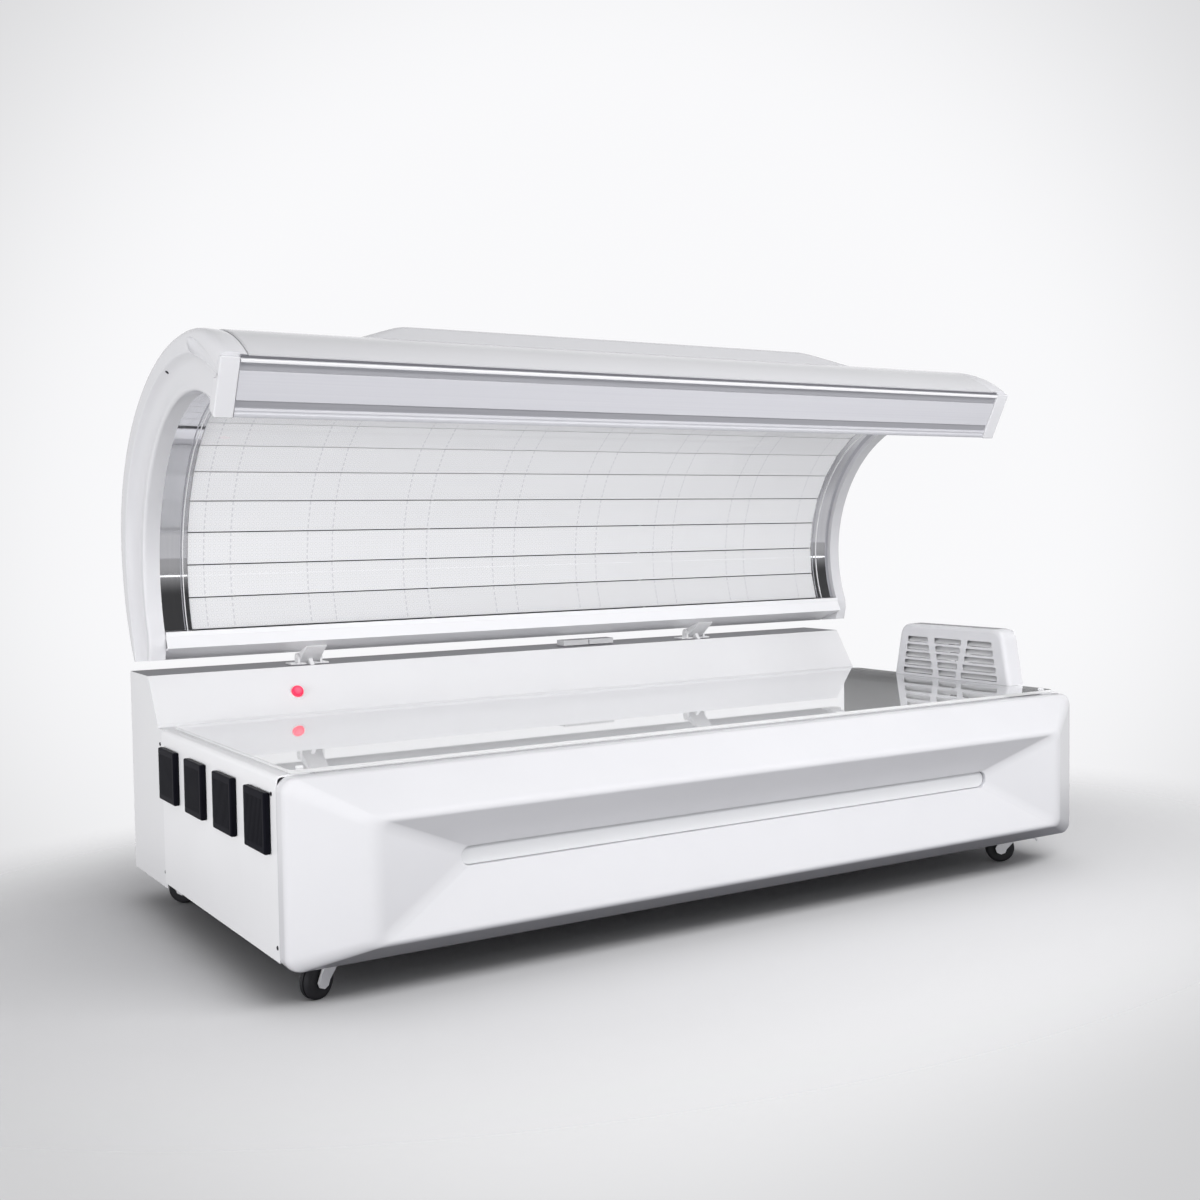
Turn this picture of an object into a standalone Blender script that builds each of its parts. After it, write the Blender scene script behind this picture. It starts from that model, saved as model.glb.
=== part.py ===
# Red light therapy bed: a wheeled lying deck, a rear console and a hinged arched canopy of LED boards.
# Metres. +X runs to the head end, -Y to the open side, +Z up, and the floor is z = 0.
import math

import bmesh
import bpy
from mathutils import Matrix, Vector

# Fits
CLEARANCE = 0.0003
RUNNING_GAP = 0.001

# Deck and base
BASE_HALF_LENGTH = 1.100
BED_HALF_DEPTH = 0.5865
DECK_TOP = 0.465
DECK_THICKNESS = 0.008
DECK_CORNER_RADIUS = 0.020
DECK_END_INSET = 0.028
DECK_HALF_LENGTH = BASE_HALF_LENGTH - DECK_END_INSET
PANEL_WALL = 0.004
PANEL_BOTTOM = 0.094
PANEL_BEND_RADIUS = 0.012
PANEL_FLANGE = 0.070

# Front casing: picture-frame moulding with a hipped recess round a long slot
CASING_DEPTH = 0.120
CASING_SEAM = CASING_DEPTH - BED_HALF_DEPTH
CASING_WALL = 0.004
CASING_FLANGE = 0.008
CASING_BOTTOM = 0.080
CASING_CORNER_RADIUS = 0.030
RIDGE_END_INSET = 0.152
RIDGE_HALF_LENGTH = BASE_HALF_LENGTH - RIDGE_END_INSET
RIDGE_BOTTOM = 0.131
RIDGE_TOP = 0.371
RIDGE_CORNER_RADIUS = 0.050
RIDGE_ROUNDING = 0.009
SLOT_END_INSET = 0.206
SLOT_HALF_LENGTH = RIDGE_HALF_LENGTH - SLOT_END_INSET
SLOT_HALF_HEIGHT = 0.020
SLOT_CENTRE_Z = 0.266
SLOT_RECESS = 0.053
SLOT_FACE = SLOT_RECESS - BED_HALF_DEPTH
SLOT_DEPTH = 0.010

# Rear console
CONSOLE_END_INSET = 0.005
CONSOLE_HALF_LENGTH = BASE_HALF_LENGTH - CONSOLE_END_INSET
CONSOLE_WALL = 0.003
CONSOLE_BOTTOM = 0.080
CONSOLE_TOP = 0.574
CONSOLE_TOP_DEPTH = 0.160
CONSOLE_TOP_FRONT = BED_HALF_DEPTH - CONSOLE_TOP_DEPTH
CONSOLE_SLOPE_DEPTH = 0.075
CONSOLE_SLOPE_FRONT = CONSOLE_TOP_FRONT - CONSOLE_SLOPE_DEPTH
CONSOLE_LEDGE_DEPTH = 0.045
CONSOLE_LEDGE_FRONT = CONSOLE_SLOPE_FRONT - CONSOLE_LEDGE_DEPTH
CONSOLE_LEDGE_DROP = 0.0085
CONSOLE_LEDGE_Z = DECK_TOP - CONSOLE_LEDGE_DROP
CONSOLE_LIP = 0.020
DECK_OVERHANG = 0.006
DECK_FRONT = CASING_SEAM - DECK_OVERHANG
DECK_REAR_GAP = 0.002
DECK_REAR = CONSOLE_LEDGE_FRONT - DECK_REAR_GAP
DECK_MIDDLE = (DECK_FRONT + DECK_REAR) / 2

# Frame
RING_END_GAP = 0.0005
RING_HALF_LENGTH = CONSOLE_HALF_LENGTH - CONSOLE_WALL - RING_END_GAP
RING_BOTTOM = 0.102
RING_HEIGHT = 0.040
RING_WIDTH = 0.060
UPPER_RING_INSET = 0.005
UPPER_RING_HALF_LENGTH = BASE_HALF_LENGTH - PANEL_FLANGE - UPPER_RING_INSET
UPPER_RING_REAR_GAP = 0.0095
UPPER_RING_REAR = DECK_REAR - UPPER_RING_REAR_GAP
UPPER_RING_HEIGHT = 0.040
UPPER_RING_DROP = 0.030
UPPER_RING_BOTTOM = DECK_TOP - UPPER_RING_HEIGHT - UPPER_RING_DROP
TUBE_WIDTH = 0.040
CROSS_MEMBER_INSET = 0.200
CROSS_MEMBER_X = BASE_HALF_LENGTH - CROSS_MEMBER_INSET
CROSS_MEMBERS_X = (-CROSS_MEMBER_X, -CROSS_MEMBER_X / 3, CROSS_MEMBER_X / 3, CROSS_MEMBER_X)
HINGE_POST_WIDTH = 0.030

# LED boards
BOARD_END_INSET = 0.110
BOARD_HALF_LENGTH = BASE_HALF_LENGTH - BOARD_END_INSET
BOARD_THICKNESS = 0.006
BOARD_PITCH = 0.080
DECK_BOARD_COUNT = 9
CANOPY_BOARD_COUNT = 12

# Fans
FAN_COUNT = 4
FAN_PITCH = 0.2007
FAN_ROW_SHIFT = 0.0107
FAN_ROW_Y = DECK_MIDDLE + FAN_ROW_SHIFT
FAN_ROW_Z = 0.360
FAN_SIZE = 0.120
FAN_DEPTH = 0.025
FAN_BORE_RADIUS = 0.055
FAN_HUB_RADIUS = 0.019
FAN_SHAFT_RADIUS = 0.003
FAN_STRUT = 0.004
FAN_BLADE_COUNT = 7
FAN_BLADE_CHORD = 0.0145
FAN_BLADE_PITCH = math.radians(55)
COVER_BASE = 0.122
COVER_FACE = 0.106
COVER_DEPTH = 0.014
COVER_SLOT_COUNT = 6
COVER_SLOT_HEIGHT = 0.006
COVER_SLOT_LENGTH = 0.086
COVER_SLOT_PITCH = 0.014

# Head vent
VENT_INSET = 0.065
VENT_FRONT_X = BASE_HALF_LENGTH - VENT_INSET
VENT_THICKNESS = 0.055
VENT_SHIFT = 0.039
VENT_CENTRE_Y = DECK_MIDDLE - VENT_SHIFT
VENT_BASE_WIDTH = 0.449
VENT_TOP_WIDTH = 0.391
VENT_HEIGHT = 0.153
VENT_WALL = 0.003
VENT_COLUMNS = 3
VENT_ROWS = 5
VENT_SLOT_LENGTH = 0.098
VENT_SLOT_HEIGHT = 0.009
VENT_COLUMN_PITCH = 0.112
VENT_ROW_PITCH = 0.022

# Start button on the console's slope
BUTTON_X = -0.735
BUTTON_UP_SLOPE = 0.058
BUTTON_RADIUS = 0.015
BUTTON_PRESSED_PROUD = 0.004
BUTTON_LENGTH = 0.030
BUTTON_TRAVEL = 0.004
BEZEL_FLANGE_RADIUS = 0.020
BEZEL_FLANGE = 0.003
BEZEL_BARREL_WALL = 0.002
BEZEL_BARREL_LENGTH = 0.020

# Mains inlet with its rocker, low on the rear panel
INLET_INSET = 0.245
INLET_X = CONSOLE_HALF_LENGTH - INLET_INSET
INLET_Z = 0.170
INLET_WIDTH = 0.028
INLET_HEIGHT = 0.062
INLET_DEPTH = 0.030
SOCKET_WIDTH = 0.023
SOCKET_HEIGHT = 0.018
SOCKET_DEPTH = 0.018
SOCKET_DROP = 0.015
ROCKER_WIDTH = 0.020
ROCKER_HEIGHT = 0.022
ROCKER_DEPTH = 0.010
ROCKER_RISE = 0.015
ROCKER_RECESS = 0.004
ROCKER_TILT = math.radians(8)
ROCKER_AXLE_RADIUS = 0.0015

# Electronics
SUPPLY_SIZE = (0.360, 0.240, 0.070)
SUPPLY_X = -0.300
SUPPLY_SHIFT = 0.004
SUPPLY_Y = DECK_MIDDLE + SUPPLY_SHIFT
CONTROL_SIZE = (0.260, 0.060, 0.160)
CONTROL_X = -0.300
CONTROL_Z = 0.300
DUCT_LENGTH = 0.170
DUCT_X = 0.195
DUCT_INSET = 0.0815
DUCT_Y = BED_HALF_DEPTH - DUCT_INSET
DUCT_WIDTH = 0.040
DUCT_HEIGHT = 0.016
DUCT_SEAM = 0.001

# Canopy section: outer skin of elliptic quarters, inner faces on one circle
CANOPY_END_OVERHANG = 0.020
CANOPY_HALF_LENGTH = BASE_HALF_LENGTH + CANOPY_END_OVERHANG
CAP_WIDTH = 0.059
CAP_INNER_X = CANOPY_HALF_LENGTH - CAP_WIDTH
ARCH_SETBACK = 0.5665
ARCH_HEIGHT = 0.8265
ARCH_CENTRE = (BED_HALF_DEPTH - ARCH_SETBACK, ARCH_HEIGHT)
SKIN_FORWARD = 0.0635
SKIN_RISE = 0.0735
SKIN_CENTRE = (ARCH_CENTRE[0] - SKIN_FORWARD, ARCH_CENTRE[1] + SKIN_RISE)
SKIN_REAR = 0.594
SKIN_FRONT = 0.405
SKIN_UP = 0.450
SKIN_DOWN = 0.560
SKIN_WALL = 0.004
SKIN_LOW_TURN = math.radians(-31.5)
SKIN_HIGH_TURN = math.radians(123.6)
SKIN_STEPS = 24
LIP_RADIUS = 0.397
ACRYLIC_RADIUS = 0.400
ACRYLIC_THICKNESS = 0.0035
ACRYLIC_LOW_TURN = math.radians(-22)
ACRYLIC_HIGH_TURN = math.radians(113)
BOARD_RADIUS = 0.410
BOARD_LOW_TURN = math.radians(-20.6)
MIRROR_THICKNESS = 0.003
ARC_STEPS = 20
FASCIA_FORWARD = 0.2255
FASCIA_RISE = 0.3255
FASCIA_BOTTOM = (ARCH_CENTRE[0] - FASCIA_FORWARD, ARCH_CENTRE[1] + FASCIA_RISE)
FASCIA_WALL = 0.006
FASCIA_RETURN_TURN = math.radians(115)
CAP_WALL = 0.005
CAP_ROUNDING = 0.010
CAP_LIP_LOW_TURN = math.radians(-23)
CAP_CHAMFER_BACK = 0.3635
CAP_CHAMFER_DROP = 0.181
CAP_CHAMFER_TOP = (ARCH_CENTRE[0] + CAP_CHAMFER_BACK, ARCH_CENTRE[1] - CAP_CHAMFER_DROP)
CAP_FOOT_BACK = 0.372
CAP_FOOT_DROP = 0.2135
CAP_CHAMFER_BOTTOM = (ARCH_CENTRE[0] + CAP_FOOT_BACK, ARCH_CENTRE[1] - CAP_FOOT_DROP)
RAIL_LIP_BACK = 0.362
RAIL_LIP_DROP = 0.1565
RAIL_LIP = (ARCH_CENTRE[0] + RAIL_LIP_BACK, ARCH_CENTRE[1] - RAIL_LIP_DROP)
RAIL_FRONT_BACK = 0.347
RAIL_FRONT_DROP = 0.1845
RAIL_FRONT = (ARCH_CENTRE[0] + RAIL_FRONT_BACK, ARCH_CENTRE[1] - RAIL_FRONT_DROP)
RAIL_WALL = 0.005
RIB_THICKNESS = 0.008
RIB_END_INSET = 0.041
RIB_END_X = CAP_INNER_X - RIB_END_INSET
RIB_POSITIONS_X = (-RIB_END_X, -RIB_END_X / 3, RIB_END_X / 3, RIB_END_X)
STRINGER_WIDTH = 0.020
STRINGER_RADIUS = 0.455
STRINGER_TURNS = (5, 60, 100)
RIB_LOW_TURN = math.radians(-20)
RIB_HIGH_TURN = math.radians(112)

# Roof cover
HUMP_TOP_HALF_LENGTH = 0.608
HUMP_END_SLOPE = 0.127
HUMP_TOE_HALF_LENGTH = HUMP_TOP_HALF_LENGTH + HUMP_END_SLOPE
HUMP_RISE = 0.042
HUMP_TOP = SKIN_CENTRE[1] + SKIN_UP + HUMP_RISE
HUMP_FRONT_TURN = math.radians(92.8)
HUMP_REAR_TURN = math.radians(47)
HUMP_SHOULDER_BACK = 0.0435
HUMP_SHOULDER_FRONT = SKIN_CENTRE[0] + HUMP_SHOULDER_BACK
HUMP_TOP_DEPTH = 0.200
HUMP_SHOULDER_REAR = HUMP_SHOULDER_FRONT + HUMP_TOP_DEPTH
HUMP_WALL = 0.004

# Canopy hinges and gas springs
HINGES_X = (-0.670, 0.560)
PIVOT_INSET = 0.1165
PIVOT_Y = BED_HALF_DEPTH - PIVOT_INSET
PIVOT_RISE = 0.018
PIVOT_Z = CONSOLE_TOP + PIVOT_RISE
PIN_RADIUS = 0.005
PIN_HEAD = 0.002
KNUCKLE_RADIUS = 0.012
ARM_WIDTH = 0.054
ARM_REACH = 0.060
ARM_TIP_Y = PIVOT_Y - ARM_REACH
ARM_TIP_THICKNESS = 0.004
EAR_THICKNESS = 0.006
FOOT_LENGTH = 0.024
FOOT_DEPTH = 0.030
FOOT_THICKNESS = 0.004
CRANK_THICKNESS = 0.010
CRANK_WIDTH = 0.018
CRANK_RADIUS = 0.055
CRANK_REST_TURN = math.radians(-132)
CANOPY_SWING = math.radians(38)
CRANK_SLOT_GAP = 0.003
LINK_PIN_RADIUS = 0.004
LINK_CLEARANCE = 0.004
EYE_WALL = 0.004
EYE_THICKNESS = 0.008
SPRING_LENGTH_OPEN = 0.147
CYLINDER_RADIUS = 0.011
CYLINDER_LENGTH = 0.072
CYLINDER_END = 0.004
ROD_RADIUS = 0.004
ROD_LENGTH = 0.098
SPRING_STUB_RADIUS = 0.006
SPRING_TAB_HEIGHT = 0.024

# Casters
CASTER_END_INSET = 0.120
CASTER_FRONT_INSET = 0.0545
CASTER_REAR_INSET = 0.140
CASTER_X = BASE_HALF_LENGTH - CASTER_END_INSET
CASTER_FRONT_Y = CASING_SEAM + CASTER_FRONT_INSET
CASTER_REAR_Y = BED_HALF_DEPTH - CASTER_REAR_INSET
CASTER_TURNS = {"front_foot": 25, "front_head": -37, "rear_foot": -38, "rear_head": 20}
CASTER_PLATE = 0.060
CASTER_PLATE_THICKNESS = 0.004
WHEEL_RADIUS = 0.0375
WHEEL_WIDTH = 0.028
WHEEL_GROOVE = 0.003
AXLE_RADIUS = 0.004
CASTER_TRAIL = 0.036
FORK_GAP = 0.003
FORK_LEG = 0.006
FORK_LEG_WIDTH = 0.030
FORK_TOP = 0.003
FORK_HEAD = 0.030
FORK_HEAD_DEPTH = 0.018
KINGPIN_RADIUS = 0.006
KINGPIN_DEPTH = 0.008
PEDAL_PIVOT_X = 0.026
PEDAL_PIVOT_Z = 0.078
PEDAL_BARREL_RADIUS = 0.005
PEDAL_AXLE_RADIUS = 0.003
PEDAL_WIDTH = 0.030
PEDAL_LENGTH = 0.040
PEDAL_THICKNESS = 0.004
PEDAL_SLANT = math.radians(28)

# Facets of round pieces
ROUND_SEGMENTS = 16
SMALL_SEGMENTS = 8
CORNER_STEPS = 4
WHEEL_SEGMENTS = 20
SMOOTH_ANGLE = math.radians(35)
FLAT_ANGLE = math.radians(0.06)
WELD_DISTANCE = 0.000001

for old in list(bpy.data.objects):
    bpy.data.objects.remove(old)

parts = bpy.data.collections.new("red_light_therapy_bed")
bpy.context.scene.collection.children.link(parts)


def make_material(name, colour, roughness, metallic=0.0, transmission=0.0):
    material = bpy.data.materials.new(name)
    material.use_nodes = True
    shader = material.node_tree.nodes["Principled BSDF"]
    shader.inputs["Base Color"].default_value = (*colour, 1.0)
    shader.inputs["Roughness"].default_value = roughness
    shader.inputs["Metallic"].default_value = metallic
    shader.inputs["Transmission Weight"].default_value = transmission
    return material


white_gloss = make_material("white_gloss", (0.86, 0.86, 0.88), 0.15)
black_plastic = make_material("black_plastic", (0.015, 0.015, 0.02), 0.4)
red_plastic = make_material("red_plastic", (0.9, 0.04, 0.1), 0.2)
clear_acrylic = make_material("clear_acrylic", (0.95, 0.97, 0.98), 0.03, transmission=0.9)
frosted_acrylic = make_material("frosted_acrylic", (0.85, 0.86, 0.88), 0.5)
board_white = make_material("board_white", (0.80, 0.82, 0.83), 0.35)
brushed_aluminium = make_material("brushed_aluminium", (0.68, 0.68, 0.71), 0.35, 1.0)
polished_metal = make_material("polished_metal", (0.80, 0.80, 0.83), 0.06, 1.0)
painted_steel = make_material("painted_steel", (0.35, 0.35, 0.38), 0.45, 0.3)
zinc_steel = make_material("zinc_steel", (0.62, 0.62, 0.65), 0.3, 1.0)
black_rubber = make_material("black_rubber", (0.02, 0.02, 0.022), 0.7)


def offset_path(points, distance, closed=False):
    # Shifts a path to the left of its direction, with mitred corners
    count = len(points)
    shifted = []
    for index, point in enumerate(points):
        normals = []
        for first in (index - 1, index):
            if closed or 0 <= first < count - 1:
                start = Vector(points[first % count])
                along = (Vector(points[(first + 1) % count]) - start).normalized()
                normals.append(Vector((-along.y, along.x)))
        mitre = sum(normals, Vector((0, 0)))
        if len(normals) == 2:
            mitre = mitre / (1 + normals[0].dot(normals[1]))
        shifted.append(tuple(Vector(point) + mitre * distance))
    return shifted


def strip_outline(points, thickness):
    return points + offset_path(points, thickness)[::-1]


def arc(centre, radius, low_turn, high_turn, steps):
    turns = [low_turn + (high_turn - low_turn) * step / steps for step in range(steps + 1)]
    return [(centre[0] + radius * math.cos(turn), centre[1] + radius * math.sin(turn)) for turn in turns]


def circle(centre, radius):
    return arc(centre, radius, 0, 2 * math.pi, ROUND_SEGMENTS)[:-1]


def rounded_rectangle(low, high, radius):
    corners = ((high[0], low[1], -90), (high[0], high[1], 0), (low[0], high[1], 90), (low[0], low[1], 180))
    points = []
    for u, v, start in corners:
        centre = (u - math.copysign(radius, u - (low[0] + high[0]) / 2),
                  v - math.copysign(radius, v - (low[1] + high[1]) / 2))
        points += arc(centre, radius, math.radians(start), math.radians(start + 90), CORNER_STEPS)
    return points


def rectangle(low, high):
    return [(low[0], low[1]), (high[0], low[1]), (high[0], high[1]), (low[0], high[1])]


def extrude_outline(loops, low, high, axis="X"):
    # Flat outlines filled and given thickness; along X they are drawn in (y, z), along Y in (x, z)
    curve = bpy.data.curves.new("outline", "CURVE")
    curve.dimensions = "2D"
    curve.fill_mode = "BOTH"
    curve.extrude = (high - low) / 2
    for points in loops:
        spline = curve.splines.new("POLY")
        spline.points.add(len(points) - 1)
        for point, (u, v) in zip(spline.points, points):
            point.co = (u, v, 0, 1)
        spline.use_cyclic_u = True
    turns = {"X": (math.pi / 2, 0, math.pi / 2), "Y": (math.pi / 2, 0, 0), "Z": (0, 0, 0)}
    outline = bpy.data.objects.new("outline", curve)
    outline.rotation_euler = turns[axis]
    outline.location["XYZ".index(axis)] = (low + high) / 2
    parts.objects.link(outline)
    bpy.context.view_layer.update()
    depsgraph = bpy.context.evaluated_depsgraph_get()
    mesh = bpy.data.meshes.new_from_object(outline.evaluated_get(depsgraph))
    mesh.transform(outline.matrix_world)
    bpy.data.objects.remove(outline)
    bm = bmesh.new()
    bm.from_mesh(mesh)
    bmesh.ops.remove_doubles(bm, verts=bm.verts, dist=WELD_DISTANCE)
    bmesh.ops.recalc_face_normals(bm, faces=bm.faces)
    return bm


def add_box(bm, low, high):
    size = Vector(high) - Vector(low)
    centre = (Vector(high) + Vector(low)) / 2
    bmesh.ops.create_cube(bm, size=1, matrix=Matrix.Translation(centre) @ Matrix.Diagonal((*size, 1)))


def add_cylinder(bm, radius, start, end, segments=ROUND_SEGMENTS, end_radius=None):
    along = Vector(end) - Vector(start)
    turn = along.to_track_quat("Z", "Y").to_matrix().to_4x4()
    matrix = Matrix.Translation((Vector(start) + Vector(end)) / 2) @ turn
    top = radius if end_radius is None else end_radius
    bmesh.ops.create_cone(bm, cap_ends=True, segments=segments, radius1=radius, radius2=top,
                          depth=along.length, matrix=matrix)


def solid_box(low, high):
    bm = bmesh.new()
    add_box(bm, low, high)
    return bm


def solid_cylinder(radius, start, end, segments=ROUND_SEGMENTS):
    bm = bmesh.new()
    add_cylinder(bm, radius, start, end, segments)
    return bm


def join(*pieces):
    # Separate solids kept side by side in one piece
    result = bmesh.new()
    for piece in pieces:
        mesh = bpy.data.meshes.new("piece")
        piece.to_mesh(mesh)
        piece.free()
        result.from_mesh(mesh)
    return result


def make_object(name, bm):
    mesh = bpy.data.meshes.new(name)
    bm.to_mesh(mesh)
    bm.free()
    made = bpy.data.objects.new(name, mesh)
    parts.objects.link(made)
    return made


def apply_modifiers(made):
    depsgraph = bpy.context.evaluated_depsgraph_get()
    bm = bmesh.new()
    bm.from_mesh(bpy.data.meshes.new_from_object(made.evaluated_get(depsgraph)))
    bpy.data.objects.remove(made)
    return bm


def combine(bm, tool, operation):
    body = make_object("body", bm)
    cutter = make_object("cutter", tool)
    boolean = body.modifiers.new(operation.lower(), "BOOLEAN")
    boolean.operation = operation
    boolean.object = cutter
    bpy.context.view_layer.update()
    result = apply_modifiers(body)
    bpy.data.objects.remove(cutter)
    return result


def cut(bm, *tools):
    for tool in tools:
        bm = combine(bm, tool, "DIFFERENCE")
    return bm


def unite(bm, *tools):
    for tool in tools:
        bm = combine(bm, tool, "UNION")
    return bm


def finish(name, bm, material, origin=(0, 0, 0)):
    bm.normal_update()
    bmesh.ops.recalc_face_normals(bm, faces=bm.faces)
    bm.transform(Matrix.Translation(-Vector(origin)))
    made = make_object(name, bm)
    made.location = origin
    made.data.materials.append(material)
    made.data.shade_smooth()
    made.data.set_sharp_from_angle(angle=SMOOTH_ANGLE)
    return made


def place_copy(source, name, location, parent=None):
    copy = bpy.data.objects.new(name, source.data)
    copy.location = location
    copy.parent = parent
    parts.objects.link(copy)
    return copy


# Base

def make_base_frame():
    ring_front = CASTER_FRONT_Y - RING_WIDTH / 2
    ring_rear = CASTER_REAR_Y + RING_WIDTH / 2
    ring_top = RING_BOTTOM + RING_HEIGHT
    upper_top = UPPER_RING_BOTTOM + UPPER_RING_HEIGHT
    outer = rectangle((-RING_HALF_LENGTH, ring_front), (RING_HALF_LENGTH, ring_rear))
    frame = extrude_outline([outer, offset_path(outer, RING_WIDTH, closed=True)], RING_BOTTOM, ring_top, "Z")
    upper_outer = rectangle((-UPPER_RING_HALF_LENGTH, ring_front), (UPPER_RING_HALF_LENGTH, UPPER_RING_REAR))
    upper = extrude_outline([upper_outer, offset_path(upper_outer, TUBE_WIDTH, closed=True)],
                            UPPER_RING_BOTTOM, upper_top, "Z")
    lower_crosses = bmesh.new()
    upper_crosses = bmesh.new()
    posts = bmesh.new()
    sink = RING_HEIGHT / 2
    for x in CROSS_MEMBERS_X:
        add_box(lower_crosses, (x - RING_WIDTH / 2, ring_front + sink, RING_BOTTOM + RUNNING_GAP),
                (x + RING_WIDTH / 2, ring_rear - sink, ring_top - RUNNING_GAP))
        add_box(upper_crosses, (x - TUBE_WIDTH / 2, ring_front + sink, UPPER_RING_BOTTOM + RUNNING_GAP),
                (x + TUBE_WIDTH / 2, UPPER_RING_REAR - sink, upper_top - RUNNING_GAP))
        for rear in (ring_front + TUBE_WIDTH, UPPER_RING_REAR):
            half_post = TUBE_WIDTH / 2 - RUNNING_GAP
            add_box(posts, (x - half_post, rear - TUBE_WIDTH + RUNNING_GAP, ring_top - sink),
                    (x + half_post, rear - RUNNING_GAP, upper_top - sink))
    hinge_posts = bmesh.new()
    tabs = bmesh.new()
    base_y, base_z = spring_base()
    for x in HINGES_X:
        side = x + hinge_post_side()
        add_box(hinge_posts, (side, ring_rear - TUBE_WIDTH, ring_top - sink),
                (side + HINGE_POST_WIDTH, ring_rear - RUNNING_GAP, CONSOLE_TOP - CONSOLE_WALL - CLEARANCE))
        add_box(tabs, (side, ring_rear - sink, base_z - SPRING_TAB_HEIGHT / 2),
                (side + HINGE_POST_WIDTH - RUNNING_GAP, base_y + SPRING_STUB_RADIUS,
                 base_z + SPRING_TAB_HEIGHT / 2))
    plates = bmesh.new()
    bores = bmesh.new()
    half = CASTER_PLATE / 2
    for x, y in caster_places().values():
        add_box(plates, (x - half + RUNNING_GAP, y - half + RUNNING_GAP, plate_bottom()),
                (x + half - RUNNING_GAP, y + half - RUNNING_GAP, RING_BOTTOM + sink))
        add_cylinder(bores, KINGPIN_RADIUS + CLEARANCE, (x, y, plate_bottom() - sink),
                     (x, y, RING_BOTTOM + KINGPIN_DEPTH + RUNNING_GAP))
    frame = unite(frame, lower_crosses, posts, upper, upper_crosses, hinge_posts, tabs, plates)
    finish("base_frame", cut(frame, bores), painted_steel)


def caster_places():
    rows = {"front": CASTER_FRONT_Y, "rear": CASTER_REAR_Y}
    ends = {"foot": -CASTER_X, "head": CASTER_X}
    return {f"{row}_{end}": (x, y) for row, y in rows.items() for end, x in ends.items()}


def plate_bottom():
    return RING_BOTTOM - CASTER_PLATE_THICKNESS


def hinge_post_side():
    return ARM_WIDTH / 2 + EAR_THICKNESS + RUNNING_GAP


def casing_loops():
    top = DECK_TOP - DECK_THICKNESS - 2 * RUNNING_GAP
    edge = (BASE_HALF_LENGTH, CASING_BOTTOM, top, CASING_CORNER_RADIUS)
    rise = RIDGE_ROUNDING
    ridge = -BED_HALF_DEPTH
    slot_low = SLOT_CENTRE_Z - SLOT_HALF_HEIGHT
    slot_high = SLOT_CENTRE_Z + SLOT_HALF_HEIGHT
    loops = [(CASING_SEAM, *edge), (CASING_SEAM - CASING_FLANGE, *edge)]
    for setback, inset in ((rise, -rise), (0, rise / 2), (rise / 2, 2 * rise)):
        loops.append((ridge + setback, RIDGE_HALF_LENGTH - inset, RIDGE_BOTTOM + inset, RIDGE_TOP - inset,
                      RIDGE_CORNER_RADIUS))
    loops.append((SLOT_FACE, SLOT_HALF_LENGTH, slot_low, slot_high, SLOT_HALF_HEIGHT))
    loops.append((SLOT_FACE + SLOT_DEPTH, SLOT_HALF_LENGTH, slot_low, slot_high, SLOT_HALF_HEIGHT))
    return loops


def make_front_casing():
    bm = bmesh.new()
    rings = []
    for y, half_length, low, high, radius in casing_loops():
        points = rounded_rectangle((-half_length, low), (half_length, high), radius)
        verts = [bm.verts.new((x, y, z)) for x, z in points]
        rings.append([bm.edges.new((verts[i - 1], verts[i])) for i in range(len(verts))])
    for outer, inner in zip(rings, rings[1:]):
        bmesh.ops.bridge_loops(bm, edges=outer + inner)
    bmesh.ops.recalc_face_normals(bm, faces=bm.faces)
    if sum(face.normal.y for face in bm.faces) > 0:
        bmesh.ops.reverse_faces(bm, faces=bm.faces)
    casing = make_object("casing", bm)
    solidify = casing.modifiers.new("wall", "SOLIDIFY")
    solidify.thickness = CASING_WALL
    solidify.offset = -1
    bpy.context.view_layer.update()
    finish("front_casing", apply_modifiers(casing), white_gloss)


def make_front_light_bar():
    low = SLOT_CENTRE_Z - SLOT_HALF_HEIGHT + CLEARANCE
    high = SLOT_CENTRE_Z + SLOT_HALF_HEIGHT - CLEARANCE
    half = SLOT_HALF_LENGTH - CLEARANCE
    outline = rounded_rectangle((-half, low), (half, high), (high - low) / 2)
    bar = extrude_outline([outline], SLOT_FACE + CASING_WALL, SLOT_FACE + 2 * SLOT_DEPTH, "Y")
    finish("front_light_bar", bar, frosted_acrylic)


def panel_outline(side):
    top = DECK_TOP - DECK_THICKNESS - CLEARANCE
    face = BASE_HALF_LENGTH
    bend = arc((face - PANEL_BEND_RADIUS, top - PANEL_BEND_RADIUS), PANEL_BEND_RADIUS, 0, math.pi / 2,
               CORNER_STEPS)
    path = [(face, PANEL_BOTTOM)] + bend + [(face - PANEL_FLANGE, top)]
    return [(side * x, z) for x, z in strip_outline(path, PANEL_WALL)]


def fan_centres():
    middle = (FAN_COUNT - 1) / 2
    return [(FAN_ROW_Y + FAN_PITCH * (middle - index), FAN_ROW_Z) for index in range(FAN_COUNT)]


def make_end_panels():
    front = CASING_SEAM + CLEARANCE
    rear = CONSOLE_LEDGE_FRONT - RUNNING_GAP
    head = extrude_outline([panel_outline(1)], front, rear, "Y")
    foot = extrude_outline([panel_outline(-1)], front, rear, "Y")
    bores = bmesh.new()
    for y, z in fan_centres():
        add_cylinder(bores, FAN_BORE_RADIUS, (-BASE_HALF_LENGTH - PANEL_WALL, y, z),
                     (-BASE_HALF_LENGTH + 2 * PANEL_WALL, y, z))
    finish("end_panel_head", head, white_gloss)
    finish("end_panel_foot", cut(foot, bores), white_gloss)


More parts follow.
